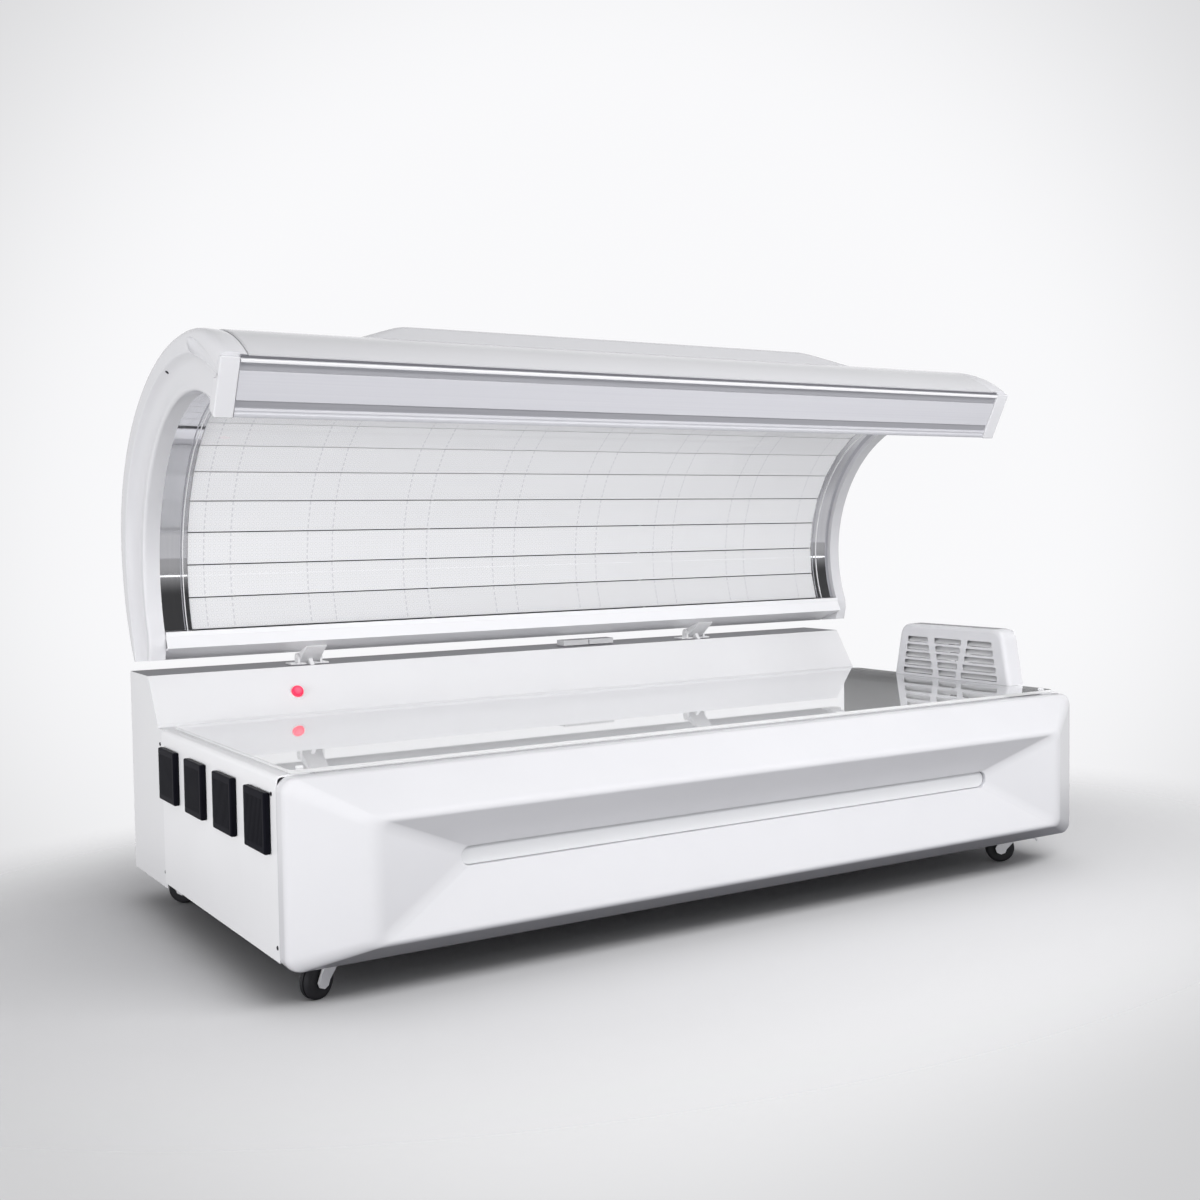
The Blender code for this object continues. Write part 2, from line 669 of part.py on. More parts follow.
def make_deck():
    outline = rounded_rectangle((-DECK_HALF_LENGTH, DECK_FRONT), (DECK_HALF_LENGTH, DECK_REAR),
                                DECK_CORNER_RADIUS)
    deck = extrude_outline([outline], DECK_TOP - DECK_THICKNESS, DECK_TOP, "Z")
    finish("deck_acrylic", deck, clear_acrylic)
    seat = UPPER_RING_BOTTOM + UPPER_RING_HEIGHT + CLEARANCE
    half_width = BOARD_PITCH * DECK_BOARD_COUNT / 2
    board = solid_box((-BOARD_HALF_LENGTH, DECK_MIDDLE - half_width, seat),
                      (BOARD_HALF_LENGTH, DECK_MIDDLE + half_width, seat + BOARD_THICKNESS))
    finish("deck_led_board", board, board_white)


def make_electronics():
    ring_top = RING_BOTTOM + RING_HEIGHT
    length, depth, height = SUPPLY_SIZE
    supply = solid_box((SUPPLY_X - length / 2, SUPPLY_Y - depth / 2, ring_top - RUNNING_GAP + CLEARANCE),
                       (SUPPLY_X + length / 2, SUPPLY_Y + depth / 2, ring_top + height))
    finish("power_supply", supply, brushed_aluminium)
    length, depth, height = CONTROL_SIZE
    rear = BED_HALF_DEPTH - CONSOLE_WALL - CLEARANCE
    control = solid_box((CONTROL_X - length / 2, rear - depth, CONTROL_Z - height / 2),
                        (CONTROL_X + length / 2, rear, CONTROL_Z + height / 2))
    finish("control_unit", control, black_plastic)
    bottom = CONSOLE_TOP + CLEARANCE
    half = DUCT_LENGTH / 2
    duct = solid_box((DUCT_X - half, DUCT_Y - DUCT_WIDTH / 2, bottom),
                     (DUCT_X + half, DUCT_Y + DUCT_WIDTH / 2, bottom + DUCT_HEIGHT))
    seam = solid_box((DUCT_X - DUCT_SEAM, DUCT_Y - DUCT_WIDTH, bottom + DUCT_SEAM),
                     (DUCT_X + DUCT_SEAM, DUCT_Y + DUCT_WIDTH, bottom + 2 * DUCT_HEIGHT))
    finish("cable_duct", cut(duct, seam), black_plastic)


# Console

def slope_frame():
    start = Vector((0, CONSOLE_SLOPE_FRONT, DECK_TOP))
    along = (Vector((0, CONSOLE_TOP_FRONT, CONSOLE_TOP)) - start).normalized()
    return start, along, Vector((0, -along.z, along.y))


def button_point(height):
    start, along, outward = slope_frame()
    return start + along * BUTTON_UP_SLOPE + outward * height + Vector((BUTTON_X, 0, 0))


def make_console():
    rear = BED_HALF_DEPTH
    sheet = [(CONSOLE_LEDGE_FRONT, CONSOLE_LEDGE_Z - CONSOLE_LIP), (CONSOLE_LEDGE_FRONT, CONSOLE_LEDGE_Z),
             (CONSOLE_SLOPE_FRONT, CONSOLE_LEDGE_Z), (CONSOLE_SLOPE_FRONT, DECK_TOP),
             (CONSOLE_TOP_FRONT, CONSOLE_TOP), (rear, CONSOLE_TOP)]
    outline = [(CONSOLE_LEDGE_FRONT, CONSOLE_BOTTOM), (rear, CONSOLE_BOTTOM)] + sheet[:0:-1]
    inside = offset_path(sheet, -CONSOLE_WALL)
    past_rear = rear + CONSOLE_WALL
    below = CONSOLE_BOTTOM - CONSOLE_WALL
    past_front = CONSOLE_LEDGE_FRONT - CONSOLE_WALL
    hollow = inside[:-1] + [(past_rear, inside[-1][1]), (past_rear, below), (past_front, below),
                            (past_front, inside[0][1])]
    shell = extrude_outline([outline], -CONSOLE_HALF_LENGTH, CONSOLE_HALF_LENGTH)
    inner_half = CONSOLE_HALF_LENGTH - CONSOLE_WALL
    slots = bmesh.new()
    half_slot = CRANK_THICKNESS / 2 + CRANK_SLOT_GAP
    for x in HINGES_X:
        add_box(slots, (x - half_slot, PIVOT_Y - CRANK_WIDTH * 2, CONSOLE_TOP - 2 * CONSOLE_WALL),
                (x + half_slot, PIVOT_Y + CRANK_WIDTH, CONSOLE_TOP + CONSOLE_WALL))
    hole_radius = BUTTON_RADIUS + BEZEL_BARREL_WALL + 2 * CLEARANCE
    hole = solid_cylinder(hole_radius, button_point(-2 * CONSOLE_WALL), button_point(CONSOLE_WALL))
    shell = cut(shell, extrude_outline([hollow], -inner_half, inner_half), slots, hole)
    finish("console_shell", shell, white_gloss)

    panel_half = inner_half - CLEARANCE
    panel = solid_box((-panel_half, rear - CONSOLE_WALL, CONSOLE_BOTTOM),
                      (panel_half, rear, CONSOLE_TOP - CONSOLE_WALL - CLEARANCE))
    window = solid_box((INLET_X - INLET_WIDTH / 2 - CLEARANCE, rear - 2 * CONSOLE_WALL,
                        INLET_Z - INLET_HEIGHT / 2 - CLEARANCE),
                       (INLET_X + INLET_WIDTH / 2 + CLEARANCE, rear + CONSOLE_WALL,
                        INLET_Z + INLET_HEIGHT / 2 + CLEARANCE))
    finish("console_rear_panel", cut(panel, window), white_gloss)


def make_start_button():
    bore = BUTTON_RADIUS + CLEARANCE
    barrel_radius = bore + BEZEL_BARREL_WALL
    flange = solid_cylinder(BEZEL_FLANGE_RADIUS, button_point(CLEARANCE), button_point(BEZEL_FLANGE))
    barrel = solid_cylinder(barrel_radius, button_point(-BEZEL_BARREL_LENGTH), button_point(BEZEL_FLANGE / 2))
    bore_tool = solid_cylinder(bore, button_point(-2 * BEZEL_BARREL_LENGTH), button_point(2 * BEZEL_FLANGE))
    finish("button_bezel", cut(unite(flange, barrel), bore_tool), black_plastic)
    top = BEZEL_FLANGE + BUTTON_PRESSED_PROUD + BUTTON_TRAVEL
    button = solid_cylinder(BUTTON_RADIUS, button_point(top - BUTTON_LENGTH), button_point(top))
    finish("start_button", button, red_plastic, button_point(0))


def make_mains_inlet():
    rear = BED_HALF_DEPTH
    half_width = INLET_WIDTH / 2
    body = solid_box((INLET_X - half_width, rear - INLET_DEPTH, INLET_Z - INLET_HEIGHT / 2),
                     (INLET_X + half_width, rear, INLET_Z + INLET_HEIGHT / 2))
    socket_z = INLET_Z - SOCKET_DROP
    socket = solid_box((INLET_X - SOCKET_WIDTH / 2, rear - SOCKET_DEPTH, socket_z - SOCKET_HEIGHT / 2),
                       (INLET_X + SOCKET_WIDTH / 2, rear + RUNNING_GAP, socket_z + SOCKET_HEIGHT / 2))
    axis = Vector((INLET_X, rear - ROCKER_RECESS - ROCKER_DEPTH / 2, INLET_Z + ROCKER_RISE))
    reach = math.hypot(ROCKER_DEPTH, ROCKER_HEIGHT) / 2 + CLEARANCE
    pocket_half = ROCKER_WIDTH / 2 + CLEARANCE
    pocket = solid_box((INLET_X - pocket_half, axis.y - reach, axis.z - reach),
                       (INLET_X + pocket_half, rear + RUNNING_GAP, axis.z + reach))
    stub = Vector((ROCKER_WIDTH / 2 + RUNNING_GAP, 0, 0))
    bearing_half = stub + Vector((RUNNING_GAP, 0, 0))
    bearing = solid_cylinder(ROCKER_AXLE_RADIUS + CLEARANCE, axis - bearing_half, axis + bearing_half,
                             SMALL_SEGMENTS)
    finish("mains_inlet", cut(body, socket, pocket, bearing), black_plastic)

    half_height = ROCKER_HEIGHT / 2
    half_depth = ROCKER_DEPTH / 2
    outline = [(-half_depth, -half_height), (half_depth, -half_height),
               (half_depth - half_height * math.tan(ROCKER_TILT), 0), (half_depth, half_height),
               (-half_depth, half_height)]
    rocker = extrude_outline([outline], -ROCKER_WIDTH / 2, ROCKER_WIDTH / 2)
    rocker = unite(rocker, solid_cylinder(ROCKER_AXLE_RADIUS, -stub, stub, SMALL_SEGMENTS))
    rocker.transform(Matrix.Translation(axis) @ Matrix.Rotation(-ROCKER_TILT, 4, "X"))
    finish("mains_rocker", rocker, black_plastic, axis)


# Fans and vent

def fan_frame():
    half = FAN_SIZE / 2
    square = rectangle((-half, -half), (half, half))
    bore = circle((0, 0), FAN_BORE_RADIUS)
    frame = extrude_outline([square, bore], 0, FAN_DEPTH)
    reach = FAN_BORE_RADIUS + RUNNING_GAP
    inside = FAN_DEPTH - FAN_STRUT
    outside = FAN_DEPTH - FAN_STRUT / 4
    upright = solid_box((inside, -FAN_STRUT, -reach), (outside, FAN_STRUT, reach))
    level = solid_box((inside, -reach, -FAN_STRUT), (outside, reach, FAN_STRUT))
    hub = solid_cylinder(FAN_HUB_RADIUS, (inside - FAN_STRUT / 4, 0, 0), (FAN_DEPTH - FAN_STRUT / 8, 0, 0))
    frame = unite(frame, upright, level, hub)
    shaft_bore = FAN_SHAFT_RADIUS + CLEARANCE
    return cut(frame, solid_cylinder(shaft_bore, (0, 0, 0), (2 * FAN_DEPTH, 0, 0), SMALL_SEGMENTS))


def fan_rotor():
    near = 2 * RUNNING_GAP
    far = FAN_DEPTH - FAN_STRUT - 2 * RUNNING_GAP
    rotor = solid_cylinder(FAN_HUB_RADIUS, (near, 0, 0), (far, 0, 0))
    root = FAN_HUB_RADIUS - 2 * RUNNING_GAP
    tip = FAN_BORE_RADIUS - 2 * RUNNING_GAP
    pitch = Matrix.Rotation(FAN_BLADE_PITCH, 4, "Z")
    blades = bmesh.new()
    for index in range(FAN_BLADE_COUNT):
        blade = solid_box((-RUNNING_GAP, -FAN_BLADE_CHORD / 2, root),
                          (RUNNING_GAP, FAN_BLADE_CHORD / 2, tip))
        turn = Matrix.Rotation(2 * math.pi * index / FAN_BLADE_COUNT, 4, "X")
        blade.transform(turn @ Matrix.Translation(((near + far) / 2, 0, 0)) @ pitch)
        blades = join(blades, blade)
    rotor = unite(rotor, blades)
    shaft = solid_cylinder(FAN_SHAFT_RADIUS, (far - RUNNING_GAP, 0, 0), (FAN_DEPTH - RUNNING_GAP, 0, 0),
                           SMALL_SEGMENTS)
    return unite(rotor, shaft)


def make_fans():
    panel_inside = -BASE_HALF_LENGTH + PANEL_WALL + CLEARANCE
    tray = None
    rotor = finish("fan_rotor_1", fan_rotor(), black_plastic)
    face_x = -BASE_HALF_LENGTH - CLEARANCE
    for index, (y, z) in enumerate(fan_centres()):
        place = (panel_inside, y, z)
        frame = fan_frame()
        frame.transform(Matrix.Translation(place))
        tray = frame if tray is None else join(tray, frame)
        finish(f"fan_cover_{index + 1}", fan_cover(face_x, y, z), black_plastic)
        if index == 0:
            rotor.location = place
        else:
            place_copy(rotor, f"fan_rotor_{index + 1}", place)
    ys = [y for y, z in fan_centres()]
    bars = bmesh.new()
    for sign in (-1, 1):
        bar_z = FAN_ROW_Z + sign * (FAN_SIZE / 2 - FAN_STRUT)
        add_box(bars, (panel_inside + FAN_STRUT, min(ys), bar_z - FAN_STRUT / 2),
                (panel_inside + 2 * FAN_STRUT, max(ys), bar_z + FAN_STRUT / 2))
    finish("fan_tray", unite(tray, bars), black_plastic)

    back = VENT_FRONT_X + VENT_THICKNESS
    place = (back - VENT_WALL - FAN_DEPTH + RUNNING_GAP, VENT_CENTRE_Y, vent_middle())
    vent_fan = fan_frame()
    vent_fan.transform(Matrix.Translation(place))
    intake = circle((VENT_CENTRE_Y, vent_middle()), FAN_BORE_RADIUS - RUNNING_GAP)
    inset = offset_path(vent_outline(), VENT_WALL + CLEARANCE, closed=True)
    panel = extrude_outline([inset, intake], back - VENT_WALL, back)
    finish("vent_back_panel", unite(panel, vent_fan), black_plastic)
    place_copy(rotor, "vent_fan_rotor", place)


def fan_cover(face_x, y, z):
    cover = bmesh.new()
    corner = math.sqrt(0.5)
    add_cylinder(cover, COVER_BASE * corner, (0, 0, 0), (0, 0, COVER_DEPTH), 4, COVER_FACE * corner)
    cover.transform(Matrix.Rotation(math.pi / 4, 4, "Z"))
    slots = bmesh.new()
    for row in range(COVER_SLOT_COUNT):
        v = COVER_SLOT_PITCH * (row - (COVER_SLOT_COUNT - 1) / 2)
        add_box(slots, (v - COVER_SLOT_HEIGHT / 2, -COVER_SLOT_LENGTH / 2, -COVER_DEPTH),
                (v + COVER_SLOT_HEIGHT / 2, COVER_SLOT_LENGTH / 2, 2 * COVER_DEPTH))
    cover = cut(cover, slots)
    cover.transform(Matrix.Translation((face_x, y, z)) @ Matrix.Rotation(-math.pi / 2, 4, "Y"))
    return cover


def vent_middle():
    return DECK_TOP + VENT_HEIGHT / 2


def vent_outline():
    bottom = DECK_TOP + CLEARANCE
    top = DECK_TOP + VENT_HEIGHT
    return [(VENT_CENTRE_Y - VENT_BASE_WIDTH / 2, bottom), (VENT_CENTRE_Y + VENT_BASE_WIDTH / 2, bottom),
            (VENT_CENTRE_Y + VENT_TOP_WIDTH / 2, top), (VENT_CENTRE_Y - VENT_TOP_WIDTH / 2, top)]


def make_vent():
    outline = vent_outline()
    back = VENT_FRONT_X + VENT_THICKNESS
    housing = extrude_outline([outline], VENT_FRONT_X, back)
    hollow = extrude_outline([offset_path(outline, VENT_WALL, closed=True)], VENT_FRONT_X + VENT_WALL,
                             back + VENT_WALL)
    slots = bmesh.new()
    for column in range(VENT_COLUMNS):
        y = VENT_CENTRE_Y + VENT_COLUMN_PITCH * (column - (VENT_COLUMNS - 1) / 2)
        for row in range(VENT_ROWS):
            z = vent_middle() + VENT_ROW_PITCH * (row - (VENT_ROWS - 1) / 2)
            add_box(slots, (VENT_FRONT_X - VENT_WALL, y - VENT_SLOT_LENGTH / 2, z - VENT_SLOT_HEIGHT / 2),
                    (VENT_FRONT_X + 2 * VENT_WALL, y + VENT_SLOT_LENGTH / 2, z + VENT_SLOT_HEIGHT / 2))
    finish("vent_housing", cut(housing, hollow, slots), white_gloss)


# Canopy, every piece with its origin on the hinge line

PIVOT = Vector((0, PIVOT_Y, PIVOT_Z))


def skin_arc(low=SKIN_LOW_TURN, high=SKIN_HIGH_TURN, steps=SKIN_STEPS):
    points = []
    for step in range(steps + 1):
        turn = low + (high - low) * step / steps
        across = SKIN_REAR if math.cos(turn) > 0 else SKIN_FRONT
        rise = SKIN_UP if math.sin(turn) > 0 else SKIN_DOWN
        points.append((SKIN_CENTRE[0] + across * math.cos(turn), SKIN_CENTRE[1] + rise * math.sin(turn)))
    return points


def skin_slice(low, high, shift):
    # The stretch of the skin's own facets between two turns, moved inward by shift
    path = [Vector(point) for point in offset_path(skin_arc(), shift)]
    step = (SKIN_HIGH_TURN - SKIN_LOW_TURN) / SKIN_STEPS
    ends = [(turn - SKIN_LOW_TURN) / step for turn in (low, high)]
    whole = range(math.ceil(ends[0]), math.floor(ends[1]) + 1)
    first, last = [path[int(end)].lerp(path[int(end) + 1], end % 1) for end in ends]
    return [tuple(point) for point in [first] + [path[index] for index in whole] + [last]]


def board_step():
    return 2 * math.asin(BOARD_PITCH / 2 / BOARD_RADIUS)


def boards_high_turn():
    return BOARD_LOW_TURN + CANOPY_BOARD_COUNT * board_step()


def board_face():
    return BOARD_RADIUS * math.cos(board_step() / 2)


def make_canopy_shell():
    half = CAP_INNER_X - CLEARANCE
    shell = extrude_outline([strip_outline(skin_arc(), SKIN_WALL)], -half, half)
    finish("canopy_shell", shell, white_gloss, PIVOT)


def cap_outline():
    nose_turn = math.atan2(FASCIA_BOTTOM[1] - ARCH_CENTRE[1], FASCIA_BOTTOM[0] - ARCH_CENTRE[0])
    lip = arc(ARCH_CENTRE, LIP_RADIUS, nose_turn, CAP_LIP_LOW_TURN, ARC_STEPS)
    return skin_arc() + [FASCIA_BOTTOM] + lip[1:] + [CAP_CHAMFER_TOP, CAP_CHAMFER_BOTTOM]


def make_cap(name, side):
    face = CANOPY_HALF_LENGTH
    outline = cap_outline()
    cap = extrude_outline([outline], CAP_INNER_X, face)
    bmesh.ops.dissolve_limit(cap, angle_limit=FLAT_ANGLE, verts=cap.verts, edges=cap.edges)
    edges = [edge for edge in cap.edges if all(on_skin_edge(vert.co) for vert in edge.verts)]
    bmesh.ops.bevel(cap, geom=edges, offset=CAP_ROUNDING, segments=2, profile=0.5, affect="EDGES")
    hollow = offset_path(outline, CAP_WALL, closed=True)
    cap = cut(cap, extrude_outline([hollow], CAP_INNER_X - CAP_WALL, face - CAP_WALL))
    if side < 0:
        cap.transform(Matrix.Diagonal((-1, 1, 1, 1)))
        bmesh.ops.reverse_faces(cap, faces=cap.faces)
    finish(name, cap, white_gloss, PIVOT)


def on_skin_edge(point):
    outside = math.hypot(point.y - ARCH_CENTRE[0], point.z - ARCH_CENTRE[1]) > LIP_RADIUS + 10 * CAP_WALL
    return outside and abs(point.x - CANOPY_HALF_LENGTH) < CLEARANCE


def fascia_top():
    # Just under the skin's front edge
    end = Vector(skin_arc()[-1])
    down = (Vector(FASCIA_BOTTOM) - end).normalized()
    return tuple(end + down * (SKIN_WALL + RUNNING_GAP))


def make_fascia():
    nose_turn = math.atan2(FASCIA_BOTTOM[1] - ARCH_CENTRE[1], FASCIA_BOTTOM[0] - ARCH_CENTRE[0])
    underside = arc(ARCH_CENTRE, LIP_RADIUS, nose_turn, FASCIA_RETURN_TURN, CORNER_STEPS)
    path = [fascia_top(), FASCIA_BOTTOM] + underside[1:]
    half = CAP_INNER_X - CLEARANCE
    finish("canopy_fascia", extrude_outline([strip_outline(path, FASCIA_WALL)], -half, half),
           brushed_aluminium, PIVOT)


def rail_path():
    inside_skin = offset_path(skin_arc(), SKIN_WALL + CLEARANCE)
    return [RAIL_LIP, RAIL_FRONT, inside_skin[0], inside_skin[1]]


def make_lower_rail():
    half = CAP_INNER_X - CLEARANCE
    rail = extrude_outline([strip_outline(rail_path(), RAIL_WALL)], -half, half)
    finish("canopy_lower_rail", rail, white_gloss, PIVOT)


def make_canopy_inside():
    face = board_face()
    path = arc(ARCH_CENTRE, BOARD_RADIUS, BOARD_LOW_TURN, boards_high_turn(), CANOPY_BOARD_COUNT)
    outline = strip_outline(path, -BOARD_THICKNESS)
    boards = extrude_outline([outline], -BOARD_HALF_LENGTH, BOARD_HALF_LENGTH)
    finish("canopy_led_board", boards, board_white, PIVOT)

    half = CAP_INNER_X - CLEARANCE
    path = arc(ARCH_CENTRE, ACRYLIC_RADIUS, ACRYLIC_LOW_TURN, ACRYLIC_HIGH_TURN, ARC_STEPS)
    finish("canopy_acrylic", extrude_outline([strip_outline(path, -ACRYLIC_THICKNESS)], -half, half),
           clear_acrylic, PIVOT)

    path = arc(ARCH_CENTRE, BOARD_RADIUS, BOARD_LOW_TURN, boards_high_turn(), ARC_STEPS)
    outline = strip_outline(path, -MIRROR_THICKNESS)
    near = BOARD_HALF_LENGTH + CLEARANCE
    finish("canopy_mirror_head", extrude_outline([outline], near, half), polished_metal, PIVOT)
    finish("canopy_mirror_foot", extrude_outline([outline], -half, -near), polished_metal, PIVOT)
    make_canopy_frame(face + BOARD_THICKNESS + CLEARANCE)


def make_canopy_frame(seat):
    # Ribs whose inner edges follow the backs of the boards, tied together by square tubes
    seat_radius = seat / math.cos(board_step() / 2)
    seats = arc(ARCH_CENTRE, seat_radius, boards_high_turn(), BOARD_LOW_TURN, CANOPY_BOARD_COUNT)
    outline = skin_slice(RIB_LOW_TURN, RIB_HIGH_TURN, SKIN_WALL + CLEARANCE) + seats
    ribs = bmesh.new()
    for x in RIB_POSITIONS_X:
        ribs = join(ribs, extrude_outline([outline], x - RIB_THICKNESS / 2, x + RIB_THICKNESS / 2))
    stringers = bmesh.new()
    half = STRINGER_WIDTH / 2
    reach = max(RIB_POSITIONS_X)
    for turn in STRINGER_TURNS:
        tube = solid_box((-reach, STRINGER_RADIUS - half, -half), (reach, STRINGER_RADIUS + half, half))
        tube.transform(Matrix.Translation((0, *ARCH_CENTRE)) @ Matrix.Rotation(math.radians(turn), 4, "X"))
        stringers = join(stringers, tube)
    finish("canopy_frame", unite(ribs, stringers), painted_steel, PIVOT)


def hump_solid(inset, foot):
    # A cover with sloping ends; foot is how far its underside lies outside the skin
    seat = skin_slice(HUMP_REAR_TURN, HUMP_FRONT_TURN, -foot)
    top = HUMP_TOP - inset
    shoulders = [(HUMP_SHOULDER_FRONT + inset, top), (HUMP_SHOULDER_REAR - inset, top)]
    front = (seat[-1][0] + 2 * inset, seat[-1][1])
    rear = (seat[0][0] - 2 * inset, seat[0][1])
    bm = extrude_outline([[rear] + seat[1:-1] + [front] + shoulders], -HUMP_TOE_HALF_LENGTH + inset,
                         HUMP_TOE_HALF_LENGTH - inset)
    crown = SKIN_CENTRE[1] + SKIN_UP
    slope = Vector((HUMP_TOP - crown, 0, HUMP_TOE_HALF_LENGTH - HUMP_TOP_HALF_LENGTH)).normalized()
    for side in (-1, 1):
        normal = Vector((side * slope.x, 0, slope.z))
        point = Vector((side * HUMP_TOE_HALF_LENGTH, 0, crown)) - normal * inset
        bmesh.ops.bisect_plane(bm, geom=bm.verts[:] + bm.edges[:] + bm.faces[:], plane_co=point,
                               plane_no=normal, clear_outer=True)
        bmesh.ops.holes_fill(bm, edges=bm.edges)
    bmesh.ops.recalc_face_normals(bm, faces=bm.faces)
    return bm


def make_roof_cover():
    cover = cut(hump_solid(0, CLEARANCE), hump_solid(HUMP_WALL, -5 * HUMP_WALL))
    finish("canopy_roof_cover", cover, white_gloss, PIVOT)


# Hinges and gas springs

def crank_end(turn):
    return Vector((0, PIVOT_Y + CRANK_RADIUS * math.cos(turn), PIVOT_Z + CRANK_RADIUS * math.sin(turn)))


def spring_direction():
    middle = CRANK_REST_TURN + CANOPY_SWING / 2
    return Vector((0, -math.sin(middle), math.cos(middle)))


def eye_centre():
    # Half way between the crank pin's path and its chord, so the straight rod follows the pin closely
    middle = CRANK_REST_TURN + CANOPY_SWING / 2
    bulge = CRANK_RADIUS * (1 - math.cos(CANOPY_SWING / 2))
    return crank_end(CRANK_REST_TURN) + Vector((0, math.cos(middle), math.sin(middle))) * bulge / 2


def spring_base():
    base = eye_centre() + spring_direction() * SPRING_LENGTH_OPEN
    return base.y, base.z


def arm_outline():
    front = Vector(RAIL_FRONT)
    back = Vector(rail_path()[2])
    along = (back - front).normalized()
    below = Vector((along.y, -along.x)) * CLEARANCE
    tip = front + along * ((ARM_TIP_Y - front.x) / along.x) + below
    heel = back - along * 2 * RUNNING_GAP + below
    pivot = Vector((PIVOT_Y, PIVOT_Z))
    tip_low = tip - Vector((0, ARM_TIP_THICKNESS))
    reach = (tip_low - pivot).normalized()
    knuckle_low = pivot + Vector((-reach.y, reach.x)) * (KNUCKLE_RADIUS - CLEARANCE)
    knuckle_top = pivot + Vector((0, KNUCKLE_RADIUS - CLEARANCE))
    return [tuple(point) for point in (tip_low, knuckle_low, pivot, knuckle_top, heel, tip)]


def make_hinge(side, x):
    half = ARM_WIDTH / 2
    line = Vector((x, 0, 0))
    arm = extrude_outline([arm_outline()], x - half + CLEARANCE, x + half - CLEARANCE)
    knuckle_half = Vector((half, 0, 0))
    knuckle = solid_cylinder(KNUCKLE_RADIUS, PIVOT + line - knuckle_half, PIVOT + line + knuckle_half)
    end = crank_end(CRANK_REST_TURN)
    along = (end - PIVOT).normalized()
    across = Vector((0, -along.z, along.y)) * CRANK_WIDTH / 2
    tip = end + along * CRANK_WIDTH / 3
    crank_corners = [PIVOT - across, tip - across, tip + across, PIVOT + across]
    crank = extrude_outline([[(point.y, point.z) for point in crank_corners]], x - CRANK_THICKNESS / 2,
                            x + CRANK_THICKNESS / 2)
    pin_out = Vector((CRANK_THICKNESS / 2 + EYE_THICKNESS + 2 * RUNNING_GAP, 0, 0))
    link_pin = solid_cylinder(LINK_PIN_RADIUS, end + line - pin_out, end + line, SMALL_SEGMENTS)
    bore = solid_cylinder(PIN_RADIUS + CLEARANCE, PIVOT + line - Vector((ARM_WIDTH, 0, 0)),
                          PIVOT + line + Vector((ARM_WIDTH, 0, 0)))
    arm = cut(unite(knuckle, arm, crank, link_pin), bore)
    finish(f"hinge_arm_{side}", arm, painted_steel, PIVOT + line)

    spring_x = Vector((x - CRANK_THICKNESS / 2 - RUNNING_GAP - EYE_THICKNESS / 2, 0, 0))
    centre = eye_centre() + spring_x
    down = spring_direction()
    eye_half = Vector((EYE_THICKNESS / 2, 0, 0))
    eye_bore = LINK_PIN_RADIUS + LINK_CLEARANCE
    eye = solid_cylinder(eye_bore + EYE_WALL, centre - eye_half, centre + eye_half)
    rod = solid_cylinder(ROD_RADIUS, centre, centre + down * ROD_LENGTH, SMALL_SEGMENTS)
    eye_tool = solid_cylinder(eye_bore, centre - eye_half * 2, centre + eye_half * 2)
    finish(f"gas_spring_rod_{side}", cut(unite(eye, rod), eye_tool), zinc_steel, centre)
    cylinder = gas_cylinder(centre + down * SPRING_LENGTH_OPEN, down, x)
    finish(f"gas_spring_cylinder_{side}", cylinder, black_plastic)
    finish(f"hinge_bracket_{side}", hinge_bracket(x), painted_steel)


def gas_cylinder(base, down, x):
    tube = solid_cylinder(CYLINDER_RADIUS, base - down * CYLINDER_LENGTH, base + down * CYLINDER_END)
    post_side = x + hinge_post_side() - CLEARANCE
    stub = solid_cylinder(SPRING_STUB_RADIUS, base, (post_side, base.y, base.z), SMALL_SEGMENTS)
    bore = solid_cylinder(ROD_RADIUS + CLEARANCE, base - down * 2 * CYLINDER_LENGTH,
                          base - down * CYLINDER_END * 2, SMALL_SEGMENTS)
    return cut(unite(tube, stub), bore)


def hinge_bracket(x):
    # Two ears on a slotted foot plate, with the hinge pin pressed into the ears
    inside = ARM_WIDTH / 2 + CLEARANCE
    bottom = CONSOLE_TOP + CLEARANCE
    outline = [(PIVOT_Y - KNUCKLE_RADIUS, bottom), (PIVOT_Y + KNUCKLE_RADIUS, bottom)]
    outline += arc((PIVOT_Y, PIVOT_Z), KNUCKLE_RADIUS, 0, math.pi, SMALL_SEGMENTS)
    ears = join(extrude_outline([outline], inside, inside + EAR_THICKNESS),
                extrude_outline([outline], -inside - EAR_THICKNESS, -inside))
    half_foot = inside + FOOT_LENGTH
    foot = solid_box((-half_foot, PIVOT_Y - KNUCKLE_RADIUS + RUNNING_GAP, bottom),
                     (half_foot, PIVOT_Y + FOOT_DEPTH, bottom + FOOT_THICKNESS))
    half_slot = CRANK_THICKNESS / 2 + CRANK_SLOT_GAP
    slot = solid_box((-half_slot, PIVOT_Y - 2 * CRANK_WIDTH, bottom - FOOT_THICKNESS),
                     (half_slot, PIVOT_Y + CRANK_WIDTH, bottom + 2 * FOOT_THICKNESS))
    reach = Vector((inside + EAR_THICKNESS + PIN_HEAD, 0, 0))
    pin = solid_cylinder(PIN_RADIUS, PIVOT - reach, PIVOT + reach)
    bracket = unite(cut(foot, slot), ears, pin)
    bracket.transform(Matrix.Translation((x, 0, 0)))
    return bracket


# Casters, drawn with the swivel axis at x = y = 0 and the wheel trailing toward -x

def turned(profile, segments):
    # Spins a closed (radius, y) profile about the Y axis
    bm = bmesh.new()
    verts = [bm.verts.new((radius, y, 0)) for radius, y in profile]
    edges = [bm.edges.new((verts[i - 1], verts[i])) for i in range(len(verts))]
    bmesh.ops.spin(bm, geom=verts + edges, cent=(0, 0, 0), axis=(0, 1, 0), angle=2 * math.pi,
                   steps=segments, use_merge=True)
    bmesh.ops.remove_doubles(bm, verts=bm.verts, dist=WELD_DISTANCE)
    return bm


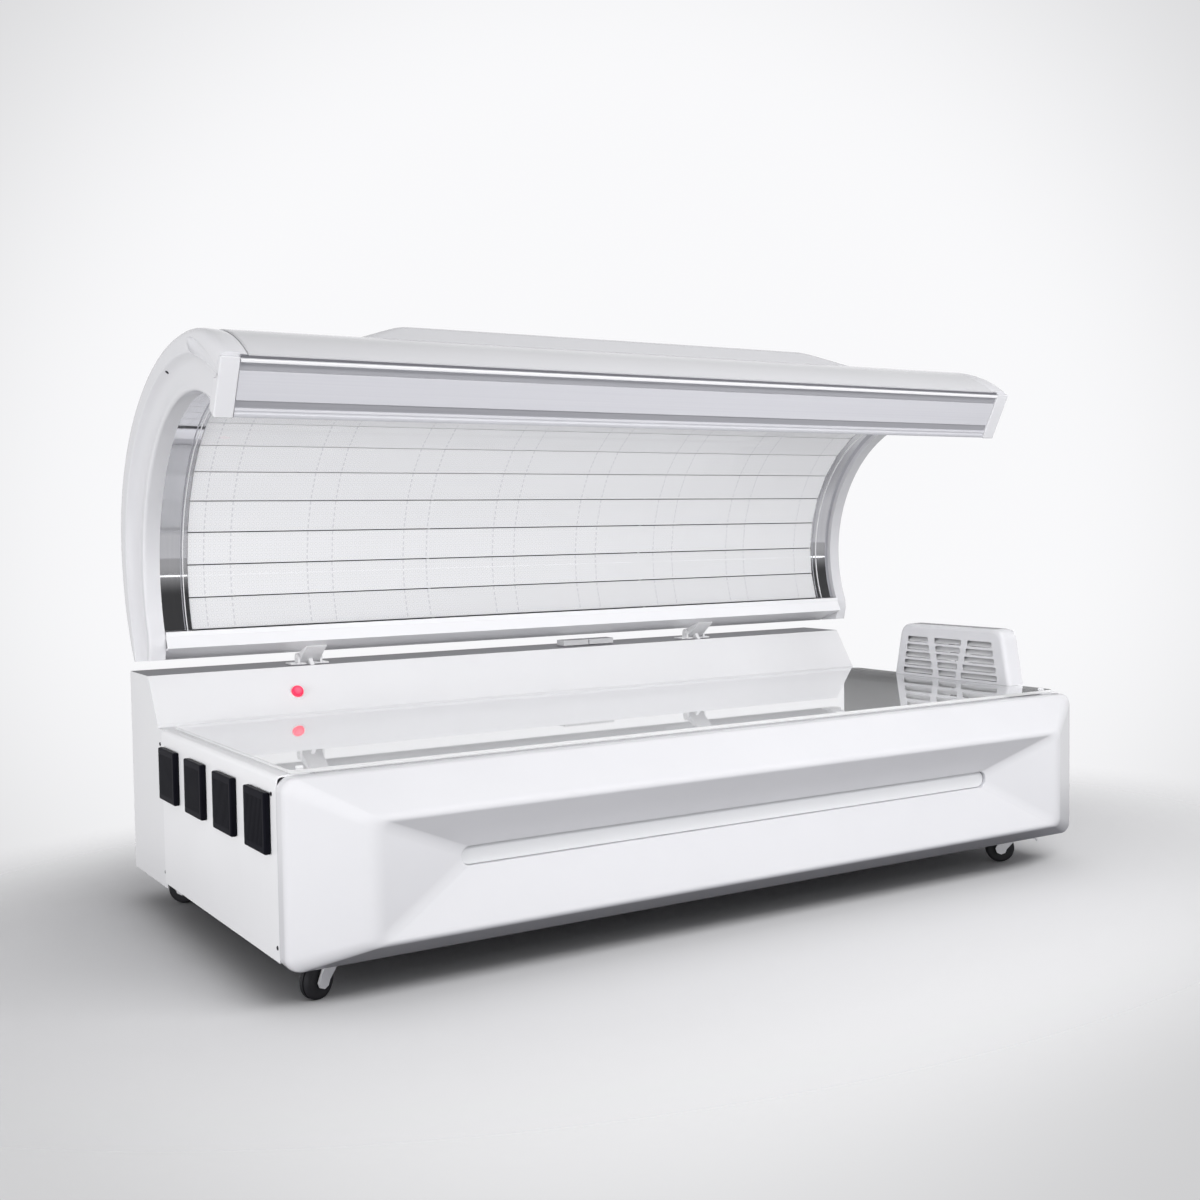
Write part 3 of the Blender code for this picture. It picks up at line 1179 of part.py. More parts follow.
def caster_wheel():
    half = WHEEL_WIDTH / 2
    half_groove = WHEEL_GROOVE / 2
    one_side = [(AXLE_RADIUS + CLEARANCE, half), (WHEEL_RADIUS - WHEEL_GROOVE, half),
                (WHEEL_RADIUS, half - WHEEL_GROOVE), (WHEEL_RADIUS, half_groove),
                (WHEEL_RADIUS - WHEEL_GROOVE, half_groove)]
    profile = one_side + [(radius, -y) for radius, y in one_side[::-1]]
    return turned(profile, WHEEL_SEGMENTS)


def fork_top():
    return plate_bottom() - CLEARANCE


def caster_fork():
    top = fork_top()
    under = top - FORK_TOP
    inner = WHEEL_WIDTH / 2 + FORK_GAP
    outer = inner + FORK_LEG
    nose = PEDAL_PIVOT_X + 2 * PEDAL_BARREL_RADIUS
    axle = (-CASTER_TRAIL, WHEEL_RADIUS)
    plate = solid_box((-FORK_HEAD, -outer, under), (nose, outer, top))
    leg = [(-FORK_HEAD + CLEARANCE, top - CLEARANCE), (-FORK_HEAD + CLEARANCE, top - FORK_HEAD_DEPTH)]
    leg += arc(axle, FORK_LEG_WIDTH / 2, math.pi, 2 * math.pi, CORNER_STEPS)
    leg += [(PEDAL_PIVOT_X, under - FORK_LEG), (PEDAL_PIVOT_X, top - CLEARANCE)]
    lug_inner = PEDAL_WIDTH / 2 + RUNNING_GAP
    lug_low = PEDAL_PIVOT_Z - 2 * PEDAL_BARREL_RADIUS
    legs = bmesh.new()
    lugs = bmesh.new()
    for sign in (-1, 1):
        ends = sorted((sign * inner, sign * (outer - CLEARANCE)))
        legs = join(legs, extrude_outline([leg], ends[0], ends[1], "Y"))
        ends = sorted((sign * lug_inner, sign * (inner + FORK_LEG / 2)))
        add_box(lugs, (PEDAL_PIVOT_X - PEDAL_BARREL_RADIUS, ends[0], lug_low),
                (nose - RUNNING_GAP, ends[1], top - RUNNING_GAP))
    axle_pin = solid_cylinder(AXLE_RADIUS, (axle[0], -inner - FORK_LEG / 2, axle[1]),
                              (axle[0], inner + FORK_LEG / 2, axle[1]), SMALL_SEGMENTS)
    kingpin = solid_cylinder(KINGPIN_RADIUS, (0, 0, under + RUNNING_GAP), (0, 0, RING_BOTTOM + KINGPIN_DEPTH))
    bore = solid_cylinder(PEDAL_AXLE_RADIUS + CLEARANCE, (PEDAL_PIVOT_X, -2 * outer, PEDAL_PIVOT_Z),
                          (PEDAL_PIVOT_X, 2 * outer, PEDAL_PIVOT_Z), SMALL_SEGMENTS)
    return cut(unite(plate, legs, lugs, axle_pin, kingpin), bore)


def caster_pedal():
    half = PEDAL_WIDTH / 2
    reach = WHEEL_WIDTH / 2 + FORK_GAP + FORK_LEG / 2
    barrel = solid_cylinder(PEDAL_BARREL_RADIUS, (0, -half, 0), (0, half, 0), SMALL_SEGMENTS)
    axle = solid_cylinder(PEDAL_AXLE_RADIUS, (0, -reach, 0), (0, reach, 0), SMALL_SEGMENTS)
    plate = solid_box((0, -half + RUNNING_GAP, -PEDAL_THICKNESS / 2),
                      (PEDAL_LENGTH, half - RUNNING_GAP, PEDAL_THICKNESS / 2))
    plate.transform(Matrix.Rotation(PEDAL_SLANT, 4, "Y"))
    return unite(barrel, axle, plate)


def make_casters():
    pieces = (("fork", caster_fork, zinc_steel, (0, 0, 0)),
              ("wheel", caster_wheel, black_rubber, (-CASTER_TRAIL, 0, WHEEL_RADIUS)),
              ("pedal", caster_pedal, black_plastic, (PEDAL_PIVOT_X, 0, PEDAL_PIVOT_Z)))
    sources = {}
    for name, (x, y) in caster_places().items():
        swivel = bpy.data.objects.new(f"caster_swivel_{name}", None)
        swivel.location = (x, y, 0)
        swivel.rotation_euler.z = math.radians(CASTER_TURNS[name])
        parts.objects.link(swivel)
        for piece, build, material, place in pieces:
            node = f"caster_{piece}_{name}"
            if piece in sources:
                place_copy(sources[piece], node, place, swivel)
            else:
                sources[piece] = finish(node, build(), material)
                sources[piece].location = place
                sources[piece].parent = swivel


make_base_frame()
make_front_casing()
make_front_light_bar()
make_end_panels()
make_deck()
make_electronics()
make_console()
make_start_button()
make_mains_inlet()
make_fans()
make_vent()
make_canopy_shell()
make_cap("canopy_cap_foot", -1)
make_cap("canopy_cap_head", 1)
make_fascia()
make_lower_rail()
make_canopy_inside()
make_roof_cover()
for hinge_side, hinge_x in zip(("foot", "head"), HINGES_X):
    make_hinge(hinge_side, hinge_x)
make_casters()
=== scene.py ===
import math

import bpy
from mathutils import Matrix, Vector


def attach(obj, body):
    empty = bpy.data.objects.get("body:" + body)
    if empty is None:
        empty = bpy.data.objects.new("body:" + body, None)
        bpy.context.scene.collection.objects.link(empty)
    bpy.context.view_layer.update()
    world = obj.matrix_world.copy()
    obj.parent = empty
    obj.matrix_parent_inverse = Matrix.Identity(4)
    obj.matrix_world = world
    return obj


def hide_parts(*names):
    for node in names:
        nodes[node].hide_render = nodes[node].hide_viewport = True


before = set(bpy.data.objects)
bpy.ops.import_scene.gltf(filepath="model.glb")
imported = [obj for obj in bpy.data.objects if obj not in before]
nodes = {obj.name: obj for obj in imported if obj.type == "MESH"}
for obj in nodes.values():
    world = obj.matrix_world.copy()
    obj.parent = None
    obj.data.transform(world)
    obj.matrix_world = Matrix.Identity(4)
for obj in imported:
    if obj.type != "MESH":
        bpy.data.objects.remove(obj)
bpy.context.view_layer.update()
scene = bpy.context.scene
ends = (("Foot", -1), ("Head", 1))
print("frame loaded:", len(nodes), "nodes")

# Camera at the photograph's place
cameraSet = {"place": (-2.0482, -3.1369, 0.9312), "yaw": 32.23, "pitch": 3.054, "roll": -0.78, "lens": 43.954,
             "sensor": 36}


def addCamera():
    yaw, pitch, roll = [math.radians(cameraSet[key]) for key in ("yaw", "pitch", "roll")]
    forward = Vector((math.sin(yaw) * math.cos(pitch), math.cos(yaw) * math.cos(pitch), -math.sin(pitch)))
    right = Vector((math.cos(yaw), -math.sin(yaw), 0))
    up = right.cross(forward)
    tiltedRight = right * math.cos(roll) + up * math.sin(roll)
    tiltedUp = up * math.cos(roll) - right * math.sin(roll)
    bpy.ops.object.camera_add()
    camera = bpy.context.object
    camera.data.lens = cameraSet["lens"]
    camera.data.sensor_width = cameraSet["sensor"]
    turn = Matrix((tiltedRight, tiltedUp, -forward)).transposed().to_4x4()
    camera.matrix_world = Matrix.Translation(cameraSet["place"]) @ turn
    scene.camera = camera


# Tools that every piece is made with; angles in degrees
tools = {"weld": 0.00002, "flatAngle": 0.5, "sharpAngle": 35, "cornerShare": 0.49}


def deselectAll():
    bpy.ops.object.select_all(action="DESELECT")


def makeActive(piece):
    deselectAll()
    piece.select_set(True)
    bpy.context.view_layer.objects.active = piece


def openEdit(piece, action="SELECT"):
    makeActive(piece)
    bpy.ops.object.mode_set(mode="EDIT")
    bpy.ops.mesh.select_all(action=action)


def closeEdit(outward=False):
    # leaves edit mode, with all faces turned outwards where asked
    if outward:
        bpy.ops.mesh.select_all(action="SELECT")
        bpy.ops.mesh.normals_make_consistent(inside=False)
    bpy.ops.object.mode_set(mode="OBJECT")


def nameActive(name):
    piece = bpy.context.object
    piece.name = name
    piece.data.name = name
    return piece


def applyModifier(piece, kind, **values):
    makeActive(piece)
    modifier = piece.modifiers.new(kind.lower(), kind)
    for key, value in values.items():
        setattr(modifier, key, value)
    bpy.ops.object.modifier_apply(modifier=modifier.name)


def bevelEdges(piece, width, segments=3, angle=tools["sharpAngle"]):
    applyModifier(piece, "BEVEL", width=width, segments=segments, limit_method="ANGLE",
                  angle_limit=math.radians(angle))


def solidify(piece, thickness, offset=-1.0):
    applyModifier(piece, "SOLIDIFY", thickness=thickness, offset=offset, use_even_offset=True)


def mergeDoubles(piece, distance):
    openEdit(piece)
    bpy.ops.mesh.remove_doubles(threshold=distance)
    closeEdit(outward=True)


def smoothShade(piece, angle):
    makeActive(piece)
    bpy.ops.object.shade_smooth_by_angle(angle=math.radians(angle))
    applyModifier(piece, "WEIGHTED_NORMAL", keep_sharp=True)


def gridPiece(name, rows, merge=tools["weld"]):
    # a grid primitive laid onto rows of points
    deselectAll()
    bpy.ops.mesh.primitive_grid_add(x_subdivisions=len(rows[0]) - 1, y_subdivisions=len(rows) - 1)
    piece = nameActive(name)
    for vert, point in zip(piece.data.vertices, [point for row in rows for point in row]):
        vert.co = point
    mergeDoubles(piece, merge)
    return piece


def extrudedPiece(name, loop, move):
    # a filled circle laid onto a closed loop of points, then extruded
    deselectAll()
    bpy.ops.mesh.primitive_circle_add(vertices=len(loop), fill_type="NGON")
    piece = nameActive(name)
    for vert, point in zip(piece.data.vertices, loop):
        vert.co = point
    openEdit(piece)
    bpy.ops.mesh.extrude_region_move(TRANSFORM_OT_translate={"value": move})
    closeEdit(outward=True)
    return piece


def sectionPiece(name, outline, low, high):
    # a closed (y, z) outline along X
    return extrudedPiece(name, [(low, *point) for point in outline], (high - low, 0, 0))


def boxPiece(name, low, high, rounding, segments):
    deselectAll()
    centre = (Vector(low) + Vector(high)) / 2
    bpy.ops.mesh.primitive_cube_add(size=1, location=centre, scale=Vector(high) - Vector(low))
    bpy.ops.object.transform_apply(location=True, rotation=True, scale=True)
    piece = nameActive(name)
    openEdit(piece)
    bpy.ops.mesh.bevel(offset=rounding, segments=segments, affect="EDGES")
    closeEdit()
    return piece


def placeMesh(piece, matrix):
    makeActive(piece)
    piece.matrix_world = matrix
    bpy.ops.object.transform_apply(location=True, rotation=True, scale=True)


def turnedPiece(name, profile, axis, place, steps=48):
    # a (radius, height) profile spun about an axis through place
    deselectAll()
    bpy.ops.mesh.primitive_circle_add(vertices=len(profile))
    piece = nameActive(name)
    for vert, (radius, height) in zip(piece.data.vertices, profile):
        vert.co = (radius, 0, height)
    openEdit(piece)
    bpy.ops.mesh.spin(steps=steps, angle=2 * math.pi, center=(0, 0, 0), axis=(0, 0, 1))
    closeEdit()
    mergeDoubles(piece, tools["weld"])
    turn = Vector(axis).to_track_quat("Z", "Y").to_matrix().to_4x4()
    placeMesh(piece, Matrix.Translation(place) @ turn)
    return piece


def joinPieces(name, pieces):
    deselectAll()
    for piece in pieces:
        piece.select_set(True)
    bpy.context.view_layer.objects.active = pieces[0]
    bpy.ops.object.join()
    return nameActive(name)


def camelName(node):
    first, *rest = node.split("_")
    return first + "".join(word.capitalize() for word in rest)


def refinedCopy(node, rounding):
    # the node's own solid with its sharp edges rounded
    deselectAll()
    piece = nodes[node].copy()
    piece.data = nodes[node].data.copy()
    for key in list(piece.keys()):
        del piece[key]
    piece.parent = None
    piece.name = piece.data.name = camelName(node)
    scene.collection.objects.link(piece)
    piece.data.materials.clear()
    openEdit(piece)
    bpy.ops.mesh.customdata_custom_splitnormals_clear()
    bpy.ops.mesh.remove_doubles(threshold=tools["weld"])
    bpy.ops.mesh.dissolve_limited(angle_limit=math.radians(tools["flatAngle"]))
    closeEdit()
    bevelEdges(piece, rounding)
    return piece


def openRims(piece):
    # edit mode with the open edges chosen
    openEdit(piece, "DESELECT")
    bpy.ops.mesh.select_mode(type="EDGE")
    bpy.ops.mesh.select_non_manifold(extend=False)


def cutPiece(piece, cutter):
    applyModifier(piece, "BOOLEAN", operation="DIFFERENCE", object=cutter)
    bpy.data.objects.remove(cutter)


def spread(low, high, count):
    return [low + (high - low) * step / (count - 1) for step in range(count)]


def roundPath(points, reach, steps, closed=False):
    # corners of a path of tuples softened by short parabolas
    path = [Vector(point) for point in points]
    soft = []
    for index, corner in enumerate(path):
        if not closed and index in (0, len(path) - 1) or reach[index] == 0:
            soft.append(tuple(corner))
            continue
        before = path[index - 1] - corner
        after = path[(index + 1) % len(path)] - corner
        start = corner + before.normalized() * min(reach[index], before.length * tools["cornerShare"])
        end = corner + after.normalized() * min(reach[index], after.length * tools["cornerShare"])
        for step in range(steps + 1):
            t = step / steps
            soft.append(tuple(start * (1 - t) ** 2 + corner * 2 * t * (1 - t) + end * t ** 2))
    return soft


def roundedLoop(half, low, high, radius, steps):
    # (a, b) points round a rectangle that is centred in a, closed at its first point
    points = []
    for a, b, start in ((half, low, -90), (half, high, 0), (-half, high, 90), (-half, low, 180)):
        middle = (a - math.copysign(radius, a), b + radius if b == low else b - radius)
        for step in range(steps + 1):
            turn = math.radians(start + 90 * step / steps)
            points.append((middle[0] + radius * math.cos(turn), middle[1] + radius * math.sin(turn)))
    return points + points[:1]


def setPiece(piece, finish, body, slot, *stoodFor, smooth=None):
    if smooth:
        smoothShade(piece, smooth)
    if finish:
        piece.data.materials.clear()
        piece.data.materials.append(finishes[finish])
    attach(piece, body)
    if stoodFor:
        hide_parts(*stoodFor)


def paintFaces(piece, finish, test):
    # a second finish on the faces that pass the test
    piece.data.materials.append(finishes[finish])
    for face in piece.data.polygons:
        if test(face):
            face.material_index = 1


# Finishes
def rgb(*shade):
    # red, green and blue, or one level for red and green, then blue
    return (shade[0], shade[-2], shade[-1], 1)


def setInputs(tree, node, inputs):
    # a value is set on its socket, another node's output is linked to it
    for key, value in inputs.items():
        if isinstance(value, bpy.types.NodeSocket):
            tree.links.new(value, node.inputs[key])
        else:
            node.inputs[key].default_value = value


def addNode(tree, kind, inputs=None, **settings):
    node = tree.nodes.new(kind)
    for key, value in settings.items():
        setattr(node, key, value)
    setInputs(tree, node, inputs or {})
    return node


def newMaterial(name, sockets):
    material = bpy.data.materials.new(name)
    material.use_nodes = True
    tree = material.node_tree
    shader = tree.nodes["Principled BSDF"]
    setInputs(tree, shader, sockets)
    return material, tree, shader


def mathNode(tree, operation, *values):
    return addNode(tree, "ShaderNodeMath", dict(enumerate(values)), operation=operation).outputs["Value"]


def rangeNode(tree, value, low, high, start=0, end=1, kind="LINEAR"):
    inputs = {"Value": value, "From Min": low, "From Max": high, "To Min": start, "To Max": end}
    return addNode(tree, "ShaderNodeMapRange", inputs, interpolation_type=kind).outputs["Result"]


def shadesBetween(tree, factor, dark, light):
    mix = addNode(tree, "ShaderNodeMix", {"Factor": factor, "A": dark, "B": light}, data_type="RGBA")
    return mix.outputs["Result"]


def bumpNode(tree, height, strength, distance):
    inputs = {"Height": height, "Strength": strength, "Distance": distance}
    return addNode(tree, "ShaderNodeBump", inputs).outputs["Normal"]


def coordinate(tree, kind="Object"):
    return addNode(tree, "ShaderNodeTexCoord").outputs[kind]


def axes(tree, kind="Object"):
    return addNode(tree, "ShaderNodeSeparateXYZ", {"Vector": coordinate(tree, kind)}).outputs


def stretched(tree, scale):
    return addNode(tree, "ShaderNodeMapping", {"Vector": coordinate(tree), "Scale": scale}).outputs["Vector"]


def objectNoise(tree, stretch, scale):
    inputs = {"Vector": stretched(tree, stretch), "Scale": scale, "Detail": 3, "Roughness": 0.55}
    return addNode(tree, "ShaderNodeTexNoise", inputs).outputs["Fac"]


def showMix(tree, factor, first, second):
    # the first shader, giving way to the second by the factor
    inputs = {"Fac": factor, 1: first.outputs["BSDF"], 2: second.outputs["BSDF"]}
    mix = addNode(tree, "ShaderNodeMixShader", inputs)
    setInputs(tree, tree.nodes["Material Output"], {"Surface": mix.outputs["Shader"]})


def finishMaterial(name, dark, light, stretch, broad, fine, rough, bump, sockets):
    # two close shades, a band of roughness and a fine bump, all from noise on the piece; a pair of heights
    # paints shade up the piece in place of the broad noise
    material, tree, shader = newMaterial(name, sockets)
    if isinstance(broad, tuple):
        share = rangeNode(tree, axes(tree)["Z"], *broad)
    else:
        share = objectNoise(tree, stretch, broad)
    grain = objectNoise(tree, stretch, fine)
    setInputs(tree, shader, {"Base Color": shadesBetween(tree, share, rgb(*dark), rgb(*light)),
                             "Roughness": rangeNode(tree, grain, 0, 1, *rough),
                             "Normal": bumpNode(tree, grain, *bump)})
    return material


# Each finish: dark and light shade, stretch of its noise, broad and fine scale, roughness, bump, more sockets;
# a pair of heights in place of the broad scale paints shade on the piece, from the one height to the other
even, brushed, drawn = (1, 1, 1), (0.35, 90, 90), (60, 2, 2)
coated = {"Coat Weight": 0.3, "Coat Roughness": 0.08}
looks = {
    "glossWhite": ((0.58, 0.603), (0.62, 0.643), even, 4, 260, (0.14, 0.24), (0.04, 0.0004), coated),
    # a darker copy of the gloss white for the canopy's shell and roof cover: painted shade
    "shellWhitePaintedShade": ((0.53, 0.55), (0.57, 0.59), even, 4, 260, (0.14, 0.24), (0.04, 0.0004), coated),
    "powderWhite": ((0.69, 0.705), (0.73, 0.745), even, 5, 420, (0.26, 0.40), (0.10, 0.0005), {}),
    # a darker copy of the powder white for the console: painted shade
    "consoleWhitePaintedShade": ((0.64, 0.655), (0.68, 0.695), even, 5, 420, (0.26, 0.40), (0.10, 0.0005), {}),
    "railWhite": ((0.68, 0.70), (0.72, 0.74), even, 5, 260, (0.18, 0.28), (0.04, 0.0004), {}),
    "brushedFace": ((0.51, 0.55), (0.58, 0.61), brushed, 3, 9, (0.34, 0.50), (0.10, 0.0004),
                    {"Metallic": 0.15}),
    "anodisedBand": ((0.34, 0.37), (0.41, 0.44), brushed, 3, 9, (0.28, 0.42), (0.06, 0.0003),
                     {"Metallic": 0.5}),
    "brightBead": ((0.84, 0.86), (0.92, 0.94), brushed, 3, 9, (0.12, 0.22), (0.03, 0.0003), {"Metallic": 0.4}),
    "polishedSteel": ((0.66, 0.69), (0.74, 0.77), drawn, 2, 7, (0.03, 0.07), (0.01, 0.0002), {"Metallic": 1.0}),
    # the light bar: lighter at the bottom, darker at the top, as painted shade from the slot's top edge
    "frostedBarPaintedShade": ((0.66, 0.665, 0.68), (0.50, 0.505, 0.525), even, (0.2465, 0.2855), 500, (0.42, 0.58),
                   (0.08, 0.0004), {"Subsurface Weight": 0.15, "Subsurface Radius": (0.01, 0.01, 0.01)}),
    "blackPlastic": ((0.005, 0.008), (0.010, 0.014), even, 20, 700, (0.24, 0.40), (0.12, 0.0004),
                     {"Specular IOR Level": 0.012}),
    "blackRubber": ((0.010, 0.012), (0.022, 0.024), even, 40, 600, (0.48, 0.72), (0.2, 0.0005), {}),
    "zincSteel": ((0.82, 0.85), (0.92, 0.94), even, 55, 300, (0.24, 0.40), (0.06, 0.0004), {"Metallic": 0.45}),
    "darkSteel": ((0.035, 0.04), (0.07, 0.08), even, 90, 500, (0.3, 0.45), (0.08, 0.0003), {"Metallic": 0.8}),
    "paintedSteel": ((0.20, 0.22), (0.26, 0.28), even, 8, 380, (0.38, 0.55), (0.12, 0.0005), {"Metallic": 0.2}),
    # grey for the light bar slot's walls: painted shade in the recess
    "slotPaintedShade": ((0.50, 0.53), (0.58, 0.61), even, 12, 380, (0.30, 0.44), (0.10, 0.0004), {"Metallic": 0.1}),
    "frameAluminium": ((0.48, 0.50), (0.58, 0.60), even, 6, 90, (0.34, 0.5), (0.06, 0.0004), {"Metallic": 0.8}),
    # dark grey: painted shade in the fascia's top groove and on the console's and duct's tops under the canopy
    "paintedShadeGrey": ((0.10, 0.115), (0.14, 0.155), brushed, 3, 9, (0.4, 0.55), (0.05, 0.0003), {}),
    "shadowGap": ((0.030, 0.034), (0.05, 0.055), even, 20, 200, (0.6, 0.8), (0.05, 0.0003), {}),
}
finishes = {name: finishMaterial(name, *look) for name, look in looks.items()}

# Sheets: the clear one has a tint, the milky one a body that veils what is behind it a little
sheetLooks = {"clearSheet": {"ior": 1.33, "gloss": {"Roughness": 0.02}, "tint": rgb(0.995, 0.995, 0.995)},
              "deckSheet": {"ior": 1.49, "gloss": {"Color": rgb(0.97, 0.97, 0.98), "Roughness": 0.025},
                            "body": {"Base Color": rgb(0.95, 0.955, 0.96), "Roughness": 0.5,
                                     "Specular IOR Level": 0, "Alpha": 0.36}}}


def sheetMaterial(name, ior, gloss, tint=None, body=None):
    # a skin of reflection over the sheet; the milky one mirrors from both its faces
    material, tree, shader = newMaterial(name, body or {})
    share = addNode(tree, "ShaderNodeFresnel", {"IOR": ior}).outputs["Fac"]
    if body:
        share = mathNode(tree, "DIVIDE", mathNode(tree, "MULTIPLY", share, 2), mathNode(tree, "ADD", share, 1))
    else:
        tree.nodes.remove(shader)
        shader = addNode(tree, "ShaderNodeBsdfTransparent", {"Color": tint})
    back = addNode(tree, "ShaderNodeNewGeometry").outputs["Backfacing"]
    share = mathNode(tree, "MULTIPLY", share, mathNode(tree, "SUBTRACT", 1, back))
    showMix(tree, share, shader, addNode(tree, "ShaderNodeBsdfGlossy", gloss))
    return material


# LED boards: the map runs along the board in u and across it in v
boardLook = {"white": rgb(0.86, 0.862, 0.882), "lens": rgb(0.90, 0.90, 0.91), "ring": rgb(0.74, 0.745, 0.765),
             "joint": rgb(0.70, 0.70, 0.73), "columns": 165, "rows": 6, "lensSize": 0.24, "ringSize": 0.32,
             "jointPeriod": 0.135, "jointPlaces": (0.02, 0.054), "jointWidth": 0.0009, "dashes": 5,
             "dashStart": -0.1, "rough": 0.32, "bump": (0.25, 0.0006)}


def boardMaterial(name, look):
    material, tree, shader = newMaterial(name, {"Roughness": look["rough"]})
    u, v, _ = axes(tree, "UV")

    def count(operation, *values):
        return mathNode(tree, operation, *values)

    def cell(value, cells):
        return count("SUBTRACT", count("FRACT", count("MULTIPLY", value, cells)), 0.5)

    across = count("POWER", cell(u, look["columns"]), 2)
    along = count("POWER", cell(v, look["rows"]), 2)
    distance = count("SQRT", count("ADD", across, along))
    lens = count("LESS_THAN", distance, look["lensSize"])
    ring = count("LESS_THAN", distance, look["ringSize"])
    shade = shadesBetween(tree, ring, look["white"], look["ring"])
    shade = shadesBetween(tree, lens, shade, look["lens"])
    # dashed joints between the boards' lengths, in pairs
    period = look["jointPeriod"]
    place = count("MULTIPLY", count("FRACT", count("DIVIDE", u, period)), period)
    pair = [count("LESS_THAN", count("ABSOLUTE", count("SUBTRACT", place, joint)), look["jointWidth"])
            for joint in look["jointPlaces"]]
    dash = count("GREATER_THAN", cell(v, look["dashes"]), look["dashStart"])
    shade = shadesBetween(tree, count("MULTIPLY", count("ADD", *pair), dash), shade, look["joint"])
    setInputs(tree, shader, {"Base Color": shade, "Normal": bumpNode(tree, lens, *look["bump"])})
    return material


# The lit button: pale in the middle, red toward its edge
button = {"place": (-0.735, 0.3844, 0.5128), "axis": (0, -0.8239, 0.5669),
          "dome": [(0.0004, -0.018), (0.0148, -0.018), (0.0148, 0.0072), (0.0141, 0.0090), (0.0118, 0.0101),
                   (0.0075, 0.0107), (0.0004, 0.0109)],
          "ring": [(0.0153, 0.0003), (0.0199, 0.0003), (0.0199, 0.0016), (0.0191, 0.0026), (0.0176, 0.0030),
                   (0.0161, 0.0029), (0.0153, 0.0021)],
          "radius": 0.016, "middle": rgb(1.0, 0.22, 0.30), "edge": rgb(0.80, 0.015, 0.06),
          "sockets": {"Roughness": 0.18, "Coat Weight": 0.5, "Emission Strength": 0.75}}


def buttonMaterial():
    material, tree, shader = newMaterial("litRed", button["sockets"])
    distance = addNode(tree, "ShaderNodeVectorMath", {0: coordinate(tree), 1: button["place"]},
                       operation="DISTANCE")
    share = mathNode(tree, "DIVIDE", distance.outputs["Value"], button["radius"])
    colour = shadesBetween(tree, share, button["middle"], button["edge"])
    setInputs(tree, shader, {"Base Color": colour, "Emission Color": colour})
    return material


finishes["ledBoard"] = boardMaterial("ledBoard", boardLook)
# the deck's boards are a lighter copy of the canopy's boards: painted light
finishes["deckBoardPaintedLight"] = boardMaterial("deckBoardPaintedLight", {**boardLook, "white": rgb(0.95, 0.952, 0.958)})
finishes["litRed"] = buttonMaterial()
for name, look in sheetLooks.items():
    finishes[name] = sheetMaterial(name, **look)
print("finishes made:", len(finishes))


# Stage: pale floor that fades into a pale room, one large softbox and soft fills
stageLook = {"floorSize": 60, "floorSeen": rgb(0.78, 0.78, 0.79), "floorBounce": rgb(0.17, 0.17, 0.19),
             "floorSockets": {"Roughness": 0.9, "Specular IOR Level": 0.1}, "fade": (1.3, 2.5),
             "depthStretch": 1.5, "roomColour": rgb(0.985, 0.985, 1.0), "roomLift": -0.01,
             "roomGlow": (0.85, 0.96, 0.69, 0.965), "roomLow": (-0.30, -0.04, 0.93, 1.0), "fillLevel": 0.40,
             "flagFade": (-0.44, -0.15, 0.42, 0.035)}
lamps = {
    "keySoftbox": {"place": (-0.4, -4.4, 3.4), "size": (4.6, 2.4), "power": 43},
    "frontFill": {"place": (1.0, -5.2, 0.85), "size": (5.0, 1.5), "power": 92},
    "rightFill": {"place": (4.6, 0.6, 2.0), "size": (2.4, 2.4), "power": 45},
    "rearFill": {"place": (0.2, 4.8, 2.2), "size": (4.0, 2.4), "power": 105},
    "sideFill": {"place": (-4.4, -0.9, 0.55), "size": (2.6, 1.0), "power": 112},
    "deckFill": {"place": (0.3, -2.5, 2.2), "size": (3.4, 0.8), "power": 59, "target": (0, -0.05, 0.5)},
    "crestStrip": {"place": (2.2, -5.2, 1.0), "size": (6.0, 0.07), "power": 3.5, "mirrored": True},
    "edgeSoftbox": {"place": (-0.3, -1.6, 4.2), "size": (5.0, 0.7), "power": 6, "mirrored": True},
}
floorLamps = ("keySoftbox", "deckFill", "edgeSoftbox")
archFill = {"place": (0.2, -2.2, 0.35), "size": (3.6, 0.5), "power": 14, "target": (0, 0.1, 1.2)}
flags = {"frontFlag": {"place": (2.5, -6.4, 3.7), "size": (12, 8.0), "turn": 0},
         "rearFlag": {"place": (4.34, 2.75, 0.8), "size": (1.72, 1.2), "turn": -0.826}}


def lampSet(name, piece, state):
    # a lamp with this set leaves the piece out or keeps to it
    group = bpy.data.collections.new(name)
    group.objects.link(piece)
    group.collection_objects[0].light_linking.link_state = state
    return group


def addFloor():
    deselectAll()
    bpy.ops.mesh.primitive_plane_add(size=stageLook["floorSize"])
    floor = nameActive("studioFloor")
    material, tree, shader = newMaterial("floorPaint", stageLook["floorSockets"])
    seen = addNode(tree, "ShaderNodeLightPath").outputs["Is Camera Ray"]
    colour = shadesBetween(tree, seen, stageLook["floorBounce"], stageLook["floorSeen"])
    setInputs(tree, shader, {"Base Color": colour})
    place = stretched(tree, (1, stageLook["depthStretch"], 1))
    length = addNode(tree, "ShaderNodeVectorMath", {0: place}, operation="LENGTH").outputs["Value"]
    fade = rangeNode(tree, length, *stageLook["fade"], kind="SMOOTHSTEP")
    showMix(tree, fade, shader, addNode(tree, "ShaderNodeBsdfTransparent"))
    floor.data.materials.append(material)
    return floor


